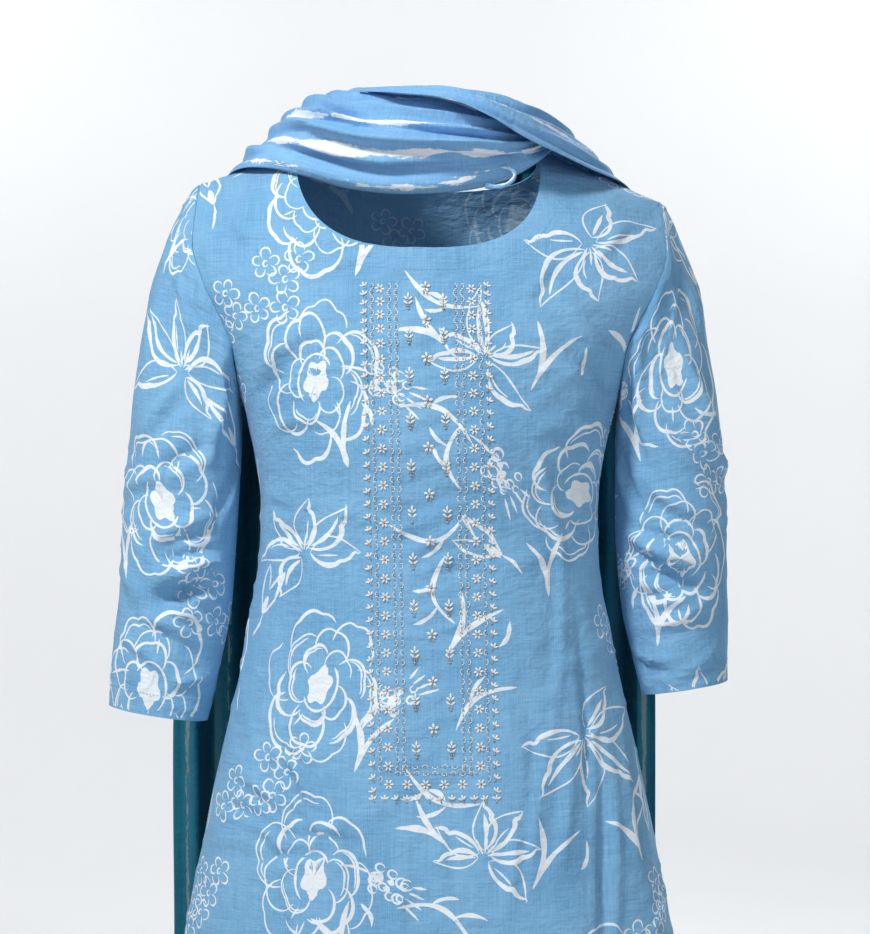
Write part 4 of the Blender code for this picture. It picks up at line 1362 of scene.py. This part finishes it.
def paper_material(name, colour):
    """Painted paper of the studio, with a faint mottle."""
    material, tree, shader = new_material(name, **{"Roughness": 0.9, "Specular IOR Level": 0.1})
    place = add_node(tree, "ShaderNodeTexCoord").outputs["Object"]
    mottle = add_node(tree, "ShaderNodeTexNoise", Vector=place, Scale=3.0, Detail=3.0).outputs[0]
    darker = tuple(0.97 * value for value in colour[:3]) + (1.0,)
    tree.links.new(mix_colours(tree, mottle, darker, colour), shader.inputs["Base Color"])
    return material


# The kurti
CLOTH_SPACING = {"front": 0.0052, "back": 0.0060, "right": 0.0050, "left": 0.0050}
SLEEVE_DEPTH = 1.3
BACK_SHIFT = 0.3
SEWN_REACH = 0.012
OUTLINE_STEP = 0.0040
PRINT_OFFSETS = {"front": (0.0, 0.0), "back": (0.175, -0.150), "right": (0.030, 0.0), "left": (0.168, -0.111)}
PRINT_SEEDS = {"front": 11, "back": 23, "right": 37, "left": 41}


def panel_rise(side, p, s):
    if side == "front":
        return crease_rise(FRONT_CREASES, p, s) + puckers(p, s) + slack(p, s)
    return crease_rise(BACK_CREASES, p, s) + slack(p + BACK_SHIFT, s)


def sleeve_rise(side, p, s):
    """The sleeve's creases, which fade out along its underarm seam."""
    rise = SLEEVE_DEPTH * crease_rise(SLEEVE_CREASES[side], p, s) + slack(p, s) + 0.0002
    return rise * smooth_step((SLEEVE_ROUND / 2 - np.abs(p)) / 0.02)


def edge_fade(outline, p, s):
    """0 on the outline, growing to 1 away from it, so that sewn edges stay where the solids have them."""
    nearest = np.full(len(p), 1.0)
    for point in outline[::2]:
        nearest = np.minimum(nearest, np.hypot(p - point[0], s - point[1]))
    return smooth_step(nearest / SEWN_REACH)


def build_cloth(name, side, outline, place, rise, materials, tube=None):
    ink = print_cloth(outline, PRINT_OFFSETS[side], PRINT_SEEDS[side])
    return shell(name, place, rise, outline, ink, CLOTH_SPACING[side], KURTI_CLOTH, materials, tube)


def build_panel(side, materials):
    """A panel, its outline, and how far its cloth stands out at flat points."""
    outline = panel_outline(side, OUTLINE_STEP)

    def place(p, s):
        return panel_place(side, p, s)

    def rise(p, s):
        return panel_rise(side, p, s) * edge_fade(outline, p, s)

    return build_cloth(f"{side}_panel", side, outline, place, rise, materials), outline, rise


def build_sleeve(side, materials):
    outline = sleeve_outline(side, OUTLINE_STEP)
    around = round(SLEEVE_ROUND / OUTLINE_STEP)
    last = len(outline) - 1
    down = np.flatnonzero(np.isclose(outline[:, 0], SLEEVE_ROUND / 2))
    up = np.concatenate([[0], np.arange(last, last - (len(down) - 1), -1)])

    def place(p, s):
        return sleeve_place(side, p, s)

    def rise(p, s):
        return sleeve_rise(side, p, s) * edge_fade(outline[: around + 1], p, s)

    return build_cloth(f"{side}_sleeve", side, outline, place, rise, materials, (down, up)), outline


# The dupatta: creases and streaks, by band along the cloth and share across it
FoldLine = namedtuple("FoldLine", "band share end_band end_share bow width height")
Streak = namedtuple("Streak", "band share end_band end_share bow half_width")
FOLD_DEPTH = 1.2
COWL_FOLDS = [
    FoldLine(4.0, 0.20, 9.0, 0.26, 0.006, 0.0035, -0.0045),
    FoldLine(3.0, 0.36, 10.5, 0.52, 0.010, 0.0040, -0.0050),
    FoldLine(2.0, 0.56, 8.0, 0.60, 0.006, 0.0050, 0.0040),
    FoldLine(1.0, 0.74, 9.5, 0.78, 0.012, 0.0045, -0.0055),
    FoldLine(5.5, 0.86, 10.0, 0.90, -0.006, 0.0035, -0.0040),
    FoldLine(6.5, 0.68, 10.5, 0.70, 0.006, 0.0035, 0.0040),
    FoldLine(0.5, 0.30, 3.5, 0.24, 0.004, 0.0050, 0.0040),
    FoldLine(0.5, 0.62, 4.0, 0.66, 0.006, 0.0050, -0.0040),
    FoldLine(5.0, 0.10, 8.0, 0.12, 0.003, 0.0030, 0.0025),
]
COWL_STREAKS = [
    Streak(1.5, 0.56, 8.2, 0.40, 0.004, 0.0030),
    Streak(2.0, 0.76, 7.2, 0.72, 0.005, 0.0054),
    Streak(6.4, 0.71, 10.8, 0.75, 0.004, 0.0062),
    Streak(5.2, 0.06, 8.6, 0.10, 0.003, 0.0038),
    Streak(5.6, 0.26, 8.0, 0.22, 0.002, 0.0016),
    Streak(5.0, 0.96, 7.6, 0.89, 0.003, 0.0018),
    Streak(1.0, 0.92, 4.0, 0.95, 0.002, 0.0016),
]
CROSS_FOLDS = [
    FoldLine(1.0, 0.40, 7.5, 0.36, 0.005, 0.0040, -0.0035),
    FoldLine(2.0, 0.70, 8.0, 0.66, 0.006, 0.0045, 0.0035),
]
CROSS_STREAKS = [
    Streak(2.0, 0.62, 7.6, 0.70, 0.004, 0.0018),
    Streak(1.5, 0.22, 6.0, 0.18, 0.003, 0.0014),
]
TAIL_FOLDS = {
    "right": [
        FoldLine(2.6, 0.02, 2.6, 0.98, 0.002, 0.0016, 0.0016),
        FoldLine(0.55, 0.02, 0.55, 0.98, 0.002, 0.0016, 0.0016),
        FoldLine(1.55, 0.02, 1.55, 0.98, 0.002, 0.0016, -0.0012),
    ],
    "left": [
        FoldLine(3.4, 0.02, 3.4, 0.98, 0.002, 0.0016, 0.0016),
        FoldLine(5.3, 0.02, 5.3, 0.98, 0.002, 0.0016, 0.0016),
    ],
}
TAIL_STREAKS = {
    "right": [
        Streak(0.0, 0.93, 6.0, 0.88, 0.004, 0.0022),
        Streak(0.0, 0.72, 6.0, 0.70, 0.006, 0.0018),
        Streak(0.0, 0.45, 6.0, 0.47, 0.004, 0.0045),
        Streak(0.0, 0.18, 6.0, 0.20, 0.004, 0.0020),
    ],
    "left": [
        Streak(0.0, 0.90, 6.0, 0.92, 0.004, 0.0024),
        Streak(0.0, 0.66, 6.0, 0.63, 0.006, 0.0040),
        Streak(0.0, 0.38, 6.0, 0.36, 0.004, 0.0018),
        Streak(0.0, 0.14, 6.0, 0.15, 0.004, 0.0030),
    ],
}


def pleat_wave(across):
    """Each pleat's height on its crest, and the same depth between two crests."""
    crests = [pleat.crest for pleat in PLEATS]
    heights = np.interp(across, crests, [pleat.height for pleat in PLEATS])
    return heights * np.cos(2 * math.pi * np.interp(across, crests, np.arange(len(crests))))


def line_distance(line, knots, width, along, across):
    """Distance in metres from a fold or streak line, and the share along it, past 0 and 1 beyond its ends."""
    count = len(knots) - 1
    start = np.array([np.interp(line.band, np.arange(count + 1), knots), line.share * width])
    end = np.array([np.interp(line.end_band, np.arange(count + 1), knots), line.end_share * width])
    reach = end - start
    size = np.linalg.norm(reach)
    reach /= size
    dx, dy = along - start[0], across - start[1]
    share = (dx * reach[0] + dy * reach[1]) / size
    off = -dx * reach[1] + dy * reach[0] - line.bow * np.sin(math.pi * np.clip(share, 0.0, 1.0))
    return off, share


def build_band(name, rows, row_length, columns, folds, streaks, materials):
    """A stretch of the dupatta, its length down the middle and its area."""
    bands = [Band(*(np.array(part) / 1000 for part in row)) for row in rows]
    knots = lengths_along(np.array([band.bulge for band in bands]))
    at = np.linspace(0.0, knots[-1], round(knots[-1] / row_length) + 1)
    inner, bulge, outer = [
        rounded_path(knots, [getattr(band, edge) for band in bands], at)[:, None, :]
        for edge in ("inner", "bulge", "outer")
    ]
    pleat = smooth_curve(knots, [band.pleat for band in bands], at)
    across = np.linspace(1.0, 0.0, columns + 1)[None, :]
    share = across[..., None]
    points = inner * (1 - share) ** 2 + bulge * 2 * share * (1 - share) + outer * share**2
    width = float(np.linalg.norm(np.diff(points, axis=1), axis=-1).sum(axis=1).mean())
    along = at[:, None] + 0.0 * across
    over = across * width + 0.0 * at[:, None]
    lift = pleat * pleat_wave(across)
    ripple = np.sin(along * 55.0 + 9.0 * across) * np.sin(across * 23.0 + along * 17.0)
    small = 0.13 * pleat * np.sin(across * 61.0 + 2.0 * np.sin(along * 7.0)) + 0.0006 * ripple
    ends = smooth_step(np.minimum(at, knots[-1] - at) / 0.03)[:, None]
    rise = np.zeros_like(over)
    for fold in folds:
        off, part = line_distance(fold, knots, width, along, over)
        fade = smooth_step(part / 0.15) * smooth_step((1 - part) / 0.15)
        rise += FOLD_DEPTH * fold.height * fade * ridge(off, fold.width, 0.45, 1.8)
    outward = unit(np.cross(np.gradient(points, axis=0), np.gradient(points, axis=1)))
    points = points + outward * (lift + (small + rise) * ends)[..., None]
    reach = np.full_like(over, -30.0)
    for streak in streaks:
        off, part = line_distance(streak, knots, width, along, over)
        taper = np.clip(np.minimum(part, 1 - part) / 0.25, -1.0, 1.0)
        swell = 0.65 + 0.35 * np.sin(part * 17.0 + streak.share * 40.0)
        reach = np.maximum(reach, 1000 * (streak.half_width * swell * taper - np.abs(off)))
    index = np.arange(over.size).reshape(over.shape)
    quads = np.stack([index[:-1, :-1], index[1:, :-1], index[1:, 1:], index[:-1, 1:]], axis=-1).reshape(-1, 4)
    flat = np.stack([over, along], axis=-1).reshape(-1, 2)
    loops_flat = [flat[quad] for quad in quads]
    cloth = cloth_object(name, points.reshape(-1, 3), quads.tolist(), loops_flat, [0] * len(quads), materials)
    store_streak(cloth, reach)
    wall = cloth.modifiers.new("thickness", "SOLIDIFY")
    wall.thickness = DUPATTA_CLOTH
    wall.offset = -1.0
    wall.use_rim = True
    wall.material_offset = 1
    step = points[1:] - points[:-1]
    area = np.linalg.norm(np.cross(step[:, :-1], np.diff(points, axis=1)[:-1]), axis=-1).sum()
    return cloth, round(float(knots[-1]), 3), float(area)


EDGE_LOOP = [
    (0.0480, -0.0795, -0.0395),
    (0.0560, -0.0835, -0.0408),
    (0.0650, -0.0845, -0.0390),
    (0.0712, -0.0835, -0.0335),
    (0.0715, -0.0820, -0.0280),
    (0.0660, -0.0822, -0.0243),
    (0.0600, -0.0835, -0.0240),
]


LOOP_RADIUS = 0.0022


def build_edge_loop(material):
    """The dupatta's edge, rolled to a cord where it curls out of the lower folds at the neck."""
    rings, sides = 44, 12
    path = rounded_path(np.arange(len(EDGE_LOOP)), EDGE_LOOP, np.linspace(0, len(EDGE_LOOP) - 1, rings))
    ahead = unit(np.gradient(path, axis=0))
    outward = unit(np.cross(ahead, [0.0, 1.0, 0.0]))
    front = np.cross(outward, ahead)
    turn = np.linspace(0.0, 2 * math.pi, sides, endpoint=False)
    share = np.linspace(0.0, 1.0, rings)[:, None]
    radius = LOOP_RADIUS * (1 - 0.45 * share) * (1 + 0.10 * np.sin(31 * share + 2 * turn))
    points = path[:, None] + radius[..., None] * (
        outward[:, None] * np.cos(turn)[:, None] + front[:, None] * np.sin(turn)[:, None]
    )
    faces = ring_faces(rings, sides)

    def flat(k, ring):
        return 0.001 * k, 0.0008 * ring

    flats = [
        [flat(k, ring), flat(k + 1, ring), flat(k + 1, ring + 1), flat(k, ring + 1)]
        for ring in range(rings - 1)
        for k in range(sides)
    ]
    for ring, order in ((0, -1), (rings - 1, 1)):
        faces.append(tuple(ring * sides + k for k in range(sides))[::order])
        flats.append([flat(k, ring) for k in range(sides)])
    loop = cloth_object("scarf_edge_loop", points.reshape(-1, 3), faces, flats, [0] * len(faces), [material])
    store_streak(loop, 3.5 * np.cos(turn - 0.9)[None] + 1.0 + 0.0 * share)
    return loop


# Stitches and embroidery, in grains that lie on the cloth
FRAME_STEP = 0.0015
STITCH = (0.0024, 0.0005, 0.0004)


def panel_frames(side, p, s, rise):
    """Places on the creased panel, with its directions across, down and out."""
    flats = [(p + FRAME_STEP, s), (p - FRAME_STEP, s), (p, s + FRAME_STEP), (p, s - FRAME_STEP)]
    right, left, lower, upper = (panel_place(side, a, b) for a, b in flats)
    across = unit(right - left)
    out = -facing(side) * unit(np.cross(lower - upper, across))
    down = -facing(side) * np.cross(across, out)
    return panel_place(side, p, s) + out * rise(p, s)[:, None], across, down, out


def grain_template(sides=6):
    """A rice-grain shape along its first axis, one unit long, wide and high."""
    stations = [(-0.5, 0.0), (-0.28, 0.82), (0.08, 1.0), (0.36, 0.66), (0.5, 0.0)]
    points = [(stations[0][0], 0.0, 0.0)]
    for at, size in stations[1:-1]:
        for k in range(sides):
            turn = 2 * math.pi * k / sides
            points.append((at, 0.5 * size * math.cos(turn), 0.5 * size * math.sin(turn)))
    points.append((stations[-1][0], 0.0, 0.0))
    faces = [(0, 1 + (k + 1) % sides, 1 + k) for k in range(sides)]
    faces += ring_faces(len(stations) - 2, sides, first=1)
    last = len(points) - 1
    start = 1 + (len(stations) - 3) * sides
    faces += [(start + k, start + (k + 1) % sides, last) for k in range(sides)]
    return np.array(points), faces


class Stitches:
    """Grains of thread or metal laid on a panel: place, direction in the cloth, length, width and height."""

    def __init__(self):
        self.rows = []

    def grain(self, p, s, degrees, length, width, height, lift=0.0):
        self.rows.append((p, s, degrees, length, width, height, lift))

    def spoke(self, p, s, degrees, away, *size):
        """A grain that points away from a place."""
        a = math.radians(degrees)
        self.grain(p + away * math.cos(a), s + away * math.sin(a), math.degrees(a), *size)

    def build(self, name, side, rise, material):
        rows = np.array(self.rows)
        origin, across, down, out = panel_frames(side, rows[:, 0], rows[:, 1], rise)
        return lay_grains(name, origin, across, down, out, rows[:, 2:], material)


def lay_grains(name, origin, across, down, out, sizes, material):
    template, faces = grain_template()
    turn = np.radians(sizes[:, 0])[:, None]
    ahead = across * np.cos(turn) + down * np.sin(turn)
    beside = np.cross(out, ahead)
    length, width, height, lift = (sizes[:, column, None, None] for column in range(1, 5))
    points = (
        origin[:, None]
        + ahead[:, None] * template[:, 0:1] * length
        + beside[:, None] * template[:, 1:2] * width
        + out[:, None] * (template[:, 2:3] * height + height * 0.35 + lift)
    )
    count = len(template)
    mesh = bpy.data.meshes.new(name)
    all_faces = [tuple(corner + count * k for corner in face) for k in range(len(sizes)) for face in faces]
    mesh.from_pydata(points.reshape(-1, 3).tolist(), [], all_faces)
    mesh.materials.append(material)
    mesh.shade_smooth()
    return add_object(name, mesh)


# Embroidery: a tall oblong down the front, with borders at its sides and foot, closer worked towards its top
BAND_TOP = 0.125
BAND_FOOT = 0.553
BAND_LEAN = (-0.003, 0.005)
CLOSEST = 0.70
CLOSE_REACH = 0.150
SPRIG_EDGE = 0.0510
STAR_COLUMN = 0.0382
CHAIN_COLUMNS = (0.0248, 0.0304, 0.0450)
TALL_SPRIG_COLUMN = 0.0146
SPRIG_PITCH = 0.0108
STAR_PITCH = 0.0155
CHAIN_PITCH = 0.0080
BUTI_PITCH = 0.0390


def worked_down(length):
    """How far down the cloth a length of embroidery reaches: it is closer worked at its top."""
    part = np.clip(length / CLOSE_REACH, 0.0, 1.0)
    return BAND_TOP + length - (1 - CLOSEST) * CLOSE_REACH * (part - part**3 + part**4 / 2)


BAND_LENGTH = BAND_FOOT - BAND_TOP + (1 - CLOSEST) * CLOSE_REACH / 2


def band_middle(s):
    return float(np.interp(s, [BAND_TOP, BAND_FOOT], BAND_LEAN))


def star(white, silver, p, s, dice):
    turn = dice.uniform(-8, 8)
    for k in range(6):
        white.spoke(p, s, turn + 60 * k, 0.0025, 0.0040, 0.0019, 0.0013)
    silver.grain(p, s, 0, 0.0015, 0.0015, 0.0014, 0.0004)


def small_sprig(white, silver, p, s, heading, dice):
    """Three short leaves and a silver knot at their root."""
    for off in (-55, 0, 55):
        white.spoke(p, s, heading + off + dice.uniform(-7, 7), 0.0022, 0.0043, 0.0019, 0.0013)
    silver.spoke(p, s, heading, -0.0018, 0.0032, 0.0015, 0.0012)


def tall_sprig(white, silver, p, s, dice):
    """A stem with two pairs of leaves, a leaf at its top and a knot at its foot."""
    white.grain(p, s - 0.0052, 90, 0.0050, 0.0021, 0.0014)
    for rise, reach in ((-0.0012, 0.0048), (0.0026, 0.0050)):
        for sign in (-1, 1):
            heading = -90 + sign * 50 + dice.uniform(-5, 5)
            white.spoke(p, s + rise, heading, 0.5 * reach, reach, 0.0020, 0.0014)
            silver.grain(p + sign * 0.0016, s + rise + 0.0016, heading, 0.0024, 0.0010, 0.0011)
    silver.grain(p, s + 0.0016, 90, 0.0085, 0.0010, 0.0010)
    silver.grain(p, s + 0.0064, 0, 0.0030, 0.0022, 0.0016)


def buti(white, silver, p, s, dice):
    """A small flower of five petals round a silver knot, with a short stem."""
    for k in range(5):
        white.spoke(p, s, -90 + 72 * k + dice.uniform(-6, 6), 0.0027, 0.0042, 0.0024, 0.0015)
    silver.grain(p, s, 0, 0.0023, 0.0023, 0.0020, 0.0005)
    silver.grain(p + 0.0014, s + 0.0054, 60, 0.0032, 0.0013, 0.0012)
    silver.grain(p - 0.0012, s + 0.0050, 120, 0.0028, 0.0011, 0.0011)


def chain(white, silver, points, dice):
    """A line of short curls, open to one side and the other by turns, with a bead in each."""
    for k, (p, s, heading) in enumerate(points):
        a = math.radians(heading)
        ahead = np.array([math.cos(a), math.sin(a)])
        beside = np.array([-math.sin(a), math.cos(a)]) * (1 if k % 2 else -1)
        turn = dice.uniform(-12, 12)
        for along, off, lean in ((-0.0019, 0.0006, 62), (0.0, 0.0015, 0), (0.0019, 0.0006, -62)):
            lean = lean if k % 2 else -lean
            curl = np.array([p, s]) + ahead * along + beside * off
            white.grain(*curl, heading + lean + turn, 0.0026, 0.0009, 0.0010)
        bead = np.array([p, s]) - beside * 0.0004
        silver.grain(*bead, heading + turn, 0.0017, 0.0013, 0.0013)
        link = np.array([p, s]) + ahead * 0.0040
        silver.grain(*link, heading + 20 * (1 if k % 2 else -1), 0.0020, 0.0009, 0.0009)


def build_embroidery(rise, thread, metal):
    dice = random.Random(5)
    white, silver = Stitches(), Stitches()
    foot_chain, foot_star, foot_sprig = BAND_FOOT - 0.0255, BAND_FOOT - 0.0140, BAND_FOOT - 0.0015

    def column(off, pitch, start, foot):
        """Places down the band, off to one side of its middle."""
        downs = worked_down(np.arange(start, BAND_LENGTH, pitch))
        return [(off + band_middle(s), float(s)) for s in downs if s < foot]

    for side in (-1, 1):
        for p, s in column(side * SPRIG_EDGE, SPRIG_PITCH, 0.0, foot_sprig - 0.005):
            small_sprig(white, silver, p, s, 270 + side * 28, dice)
        for p, s in column(side * STAR_COLUMN, STAR_PITCH, 0.003, foot_star - 0.008):
            star(white, silver, p, s, dice)
        for off in CHAIN_COLUMNS:
            foot = foot_star if off > STAR_COLUMN else foot_chain
            chain(white, silver, [(p, s, 90) for p, s in column(side * off, CHAIN_PITCH, 0.0, foot)], dice)
        for p, s in column(side * TALL_SPRIG_COLUMN, BUTI_PITCH, 0.018, foot_chain - 0.010):
            tall_sprig(white, silver, p, s, dice)
    for p, s in column(0.0, BUTI_PITCH, 0.001, foot_chain - 0.006):
        buti(white, silver, p, s, dice)
    middle = band_middle(BAND_FOOT)
    for off in (0.0, 0.0056):
        reach = CHAIN_COLUMNS[0] + off
        count = round(2 * reach / CHAIN_PITCH)
        across = [middle - reach + k * 2 * reach / count for k in range(count + 1)]
        chain(white, silver, [(p, foot_chain - 0.003 + off, 0) for p in across], dice)
    for k in range(6):
        star(white, silver, middle - STAR_COLUMN + k * 2 * STAR_COLUMN / 5, foot_star, dice)
    for k in range(12):
        heading = 270 if k % 2 else 250
        small_sprig(white, silver, middle - SPRIG_EDGE + k * 2 * SPRIG_EDGE / 11, foot_sprig, heading, dice)
    layers = (white, "embroidery_white", thread), (silver, "embroidery_silver", metal)
    return [grains.build(name, "front", rise, material) for grains, name, material in layers]


STITCH_PITCH = 0.0034
NECK_STITCH_DROP = 0.0190
HEM_STITCH_RISE = 0.0180


def build_panel_stitches(side, rise, material):
    """Rows of stitches along the neck's facing, above the hem and down the side seams."""
    rows = Stitches()
    x, z = neckline(side, np.linspace(-0.86, 0.86, 400))
    neck = np.stack([arc_at(side, column_of_x(x, z), z), down_at(side, x, z)], axis=-1)
    half = half_arc(side, np.array(HEM_Z + HEM_STITCH_RISE)) - 0.002
    hem = np.linspace(-half, half, 200)
    seam = np.linspace(0.45, -HEM_Z - 0.01, 300)
    lines = [
        neck + NECK_STITCH_DROP * to_left(np.gradient(neck, axis=0)),
        np.stack([hem, np.full_like(hem, -HEM_Z - HEM_STITCH_RISE)], axis=-1),
    ]
    lines += [np.stack([sign * (half_arc(side, -seam) - 0.0060), seam], axis=-1) for sign in (-1, 1)]
    for path in lines:
        along = lengths_along(path)
        for at in np.arange(0.0, along[-1], STITCH_PITCH):
            spot = flat_point(path, along, at)
            ahead = flat_point(path, along, at + 0.001) - spot
            rows.grain(*spot, math.degrees(math.atan2(ahead[1], ahead[0])), *STITCH)
    return rows.build(f"{side}_stitches", side, rise, material)


def build_cuff_stitches(side, material):
    """A row of stitches round the cuff."""
    count = round(SLEEVE_ROUND / STITCH_PITCH)
    p = (np.arange(count) / count - 0.5) * SLEEVE_ROUND
    s = np.full(count, sleeve_length(side) - HEM_STITCH_RISE)
    across = unit(sleeve_place(side, p + FRAME_STEP, s) - sleeve_place(side, p - FRAME_STEP, s))
    down = sleeve_place(side, p, s + FRAME_STEP) - sleeve_place(side, p, s - FRAME_STEP)
    out = unit(np.cross(across, down))
    middle = sleeve_place(side, p, s)
    out *= np.sign((out * (middle - middle.mean(axis=0))).sum())
    origin = middle + out * sleeve_rise(side, p, s)[:, None]
    sizes = np.tile([0.0, *STITCH, 0.0], (count, 1))
    return lay_grains(f"{side}_cuff_stitches", origin, across, np.cross(out, across), out, sizes, material)


def add_part(piece, slot, *nodes):
    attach(piece, "root")
    if nodes:
        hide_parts(*nodes)


def build_garment():
    ink = slub_cotton("print_ink", INK_WHITE, INK_SHADE, bump=0.25, slub=0.5)
    cotton = slub_cotton("kurti_cotton", KURTI_LIGHT, KURTI_DARK)
    reverse = slub_cotton("kurti_reverse", REVERSE_LIGHT, REVERSE_DARK)
    reverse_ink = slub_cotton("reverse_ink", REVERSE_INK, REVERSE_INK_SHADE)
    thread = thread_material("embroidery_thread", THREAD_WHITE, 0.55, sheen=0.3)
    metal = thread_material("silver_thread", SILVER, 0.38, metallic=0.35)
    sewing = thread_material("sewing_thread", SEWING_BLUE, 0.6)
    kurti = [cotton, ink, reverse]
    for side in ("front", "back"):
        cloth, outline, rise = build_panel(side, kurti + [reverse_ink] if side == "back" else kurti)
        add_part(cloth, "kurti_cotton", f"kurti_{side}")
        on_it = [build_panel_stitches(side, rise, sewing)]
        add_part(on_it[0], "kurti_cotton")
        if side == "front":
            white, silver = build_embroidery(rise, thread, metal)
            add_part(white, "embroidery_thread")
            add_part(silver, "silver_thread")
            on_it += [white, silver]
    for side in SLEEVES:
        cloth, outline = build_sleeve(side, kurti)
        add_part(cloth, "kurti_cotton", f"sleeve_{side}")
        stitches = build_cuff_stitches(side, sewing)
        add_part(stitches, "kurti_cotton")


def build_dupatta():
    blue = (DUPATTA_LIGHT, DUPATTA_DARK)
    outside = slub_cotton("dupatta_cotton", *blue, streak_colour=STREAK_WHITE)
    # The tails' reverse face is painted shade: dark teal with grey-teal streaks in place of the light blue
    # and white, for the shade it hangs in.
    reverse = slub_cotton("dupatta_reverse_painted_shade", PAINTED_SHADE_TEAL_LIGHT, PAINTED_SHADE_TEAL_DARK, streak_colour=PAINTED_SHADE_STREAK)
    neck_side = slub_cotton("dupatta_inside", *blue, streak_colour=STREAK_WHITE)
    stretches = [
        ("cowl", COWL, 0.0035, 64, COWL_FOLDS, COWL_STREAKS, neck_side, "gathered"),
        ("cross", CROSS, 0.0035, 40, CROSS_FOLDS, CROSS_STREAKS, neck_side, "gathered"),
        ("tail_right", TAIL_RIGHT, 0.0080, 90, TAIL_FOLDS["right"], TAIL_STREAKS["right"], reverse, "hung"),
        ("tail_left", TAIL_LEFT, 0.0080, 90, TAIL_FOLDS["left"], TAIL_STREAKS["left"], reverse, "hung"),
    ]
    for name, bands, row_length, columns, folds, streaks, inside_face, held in stretches:
        faces = [outside, inside_face]
        cloth, length, area = build_band(f"scarf_{name}", bands, row_length, columns, folds, streaks, faces)
        add_part(cloth, "dupatta_cotton", f"dupatta_{name}")
        on_it = []
        if name == "cowl":
            on_it.append(build_edge_loop(outside))
            add_part(on_it[0], "dupatta_cotton")


# The studio
CAMERA_X = 0.005
CAMERA_Z = -0.276
CAMERA_AWAY = 2.40
VIEW_HIGH = 0.8126
SENSOR = 36.0
FLOOR_Z = -1.40
WALL_AWAY = 6.5
WALL_TOP = 3.4
SWEEP = 1.6


def build_camera():
    data = bpy.data.cameras.new("camera")
    data.sensor_width = SENSOR
    data.sensor_fit = "AUTO"
    data.lens = SENSOR * CAMERA_AWAY / VIEW_HIGH
    camera = add_object("camera", data)
    camera.location = (CAMERA_X, -CAMERA_AWAY, CAMERA_Z)
    camera.rotation_euler = (math.pi / 2, 0.0, 0.0)
    bpy.context.scene.camera = camera


def build_stage():
    """A round pale floor that sweeps up into a wall all round, far enough out to be seen from every side."""
    profile = [(2.0, FLOOR_Z), (WALL_AWAY - SWEEP, FLOOR_Z)]
    profile += [
        (WALL_AWAY - SWEEP + SWEEP * math.sin(t), FLOOR_Z + SWEEP - SWEEP * math.cos(t))
        for t in np.linspace(0.1, math.pi / 2, 14)
    ]
    profile.append((WALL_AWAY, WALL_TOP))
    sides = 72
    turns = [2 * math.pi * k / sides for k in range(sides)]
    points = [(r * math.cos(turn), r * math.sin(turn), z) for r, z in profile for turn in turns]
    faces = [tuple(range(sides))] + [face[::-1] for face in ring_faces(len(profile), sides)]
    mesh = bpy.data.meshes.new("studio_floor")
    mesh.from_pydata(points, [], faces)
    mesh.shade_smooth()
    mesh.materials.append(paper_material("studio_paper", STUDIO_PAPER))
    add_object("studio_floor", mesh)


def add_light(name, place, target, size, power, colour=(1.0, 1.0, 1.0)):
    data = bpy.data.lights.new(name, "AREA")
    data.shape = "RECTANGLE"
    data.size, data.size_y = size
    data.energy = power
    data.color = colour
    light = add_object(name, data)
    light.location = place
    light.rotation_euler = (Vector(target) - Vector(place)).to_track_quat("-Z", "Y").to_euler()


def build_lights():
    add_light("key", (-1.0, -1.45, 1.45), (0.0, 0.0, -0.35), (0.35, 0.35), 54.0, (1.0, 0.99, 0.97))
    add_light("fill", (1.6, -2.2, 0.2), (0.0, 0.0, -0.35), (1.2, 1.2), 9.0, (0.95, 0.975, 1.0))
    add_light("behind", (1.3, 2.9, 1.7), (0.0, 0.0, -0.40), (1.0, 1.0), 85.0)
    add_light("wall_left", (-1.9, 4.3, 1.9), (-0.8, 6.4, -0.6), (1.6, 1.0), 50.0)
    add_light("wall_right", (1.9, 4.3, 1.9), (0.8, 6.4, -0.6), (1.6, 1.0), 54.0)
    add_light("wall_front", (0.0, -4.3, 2.2), (0.0, -6.4, -0.5), (2.6, 1.0), 60.0)
    world = bpy.data.worlds.new("studio")
    world.use_nodes = True
    sky = world.node_tree.nodes["Background"]
    sky.inputs[0].default_value = (0.90, 0.94, 1.0, 1.0)
    sky.inputs[1].default_value = 0.12
    bpy.context.scene.world = world
    bpy.context.scene.view_settings.view_transform = "Standard"


build_camera()
build_garment()
build_dupatta()
build_stage()
build_lights()
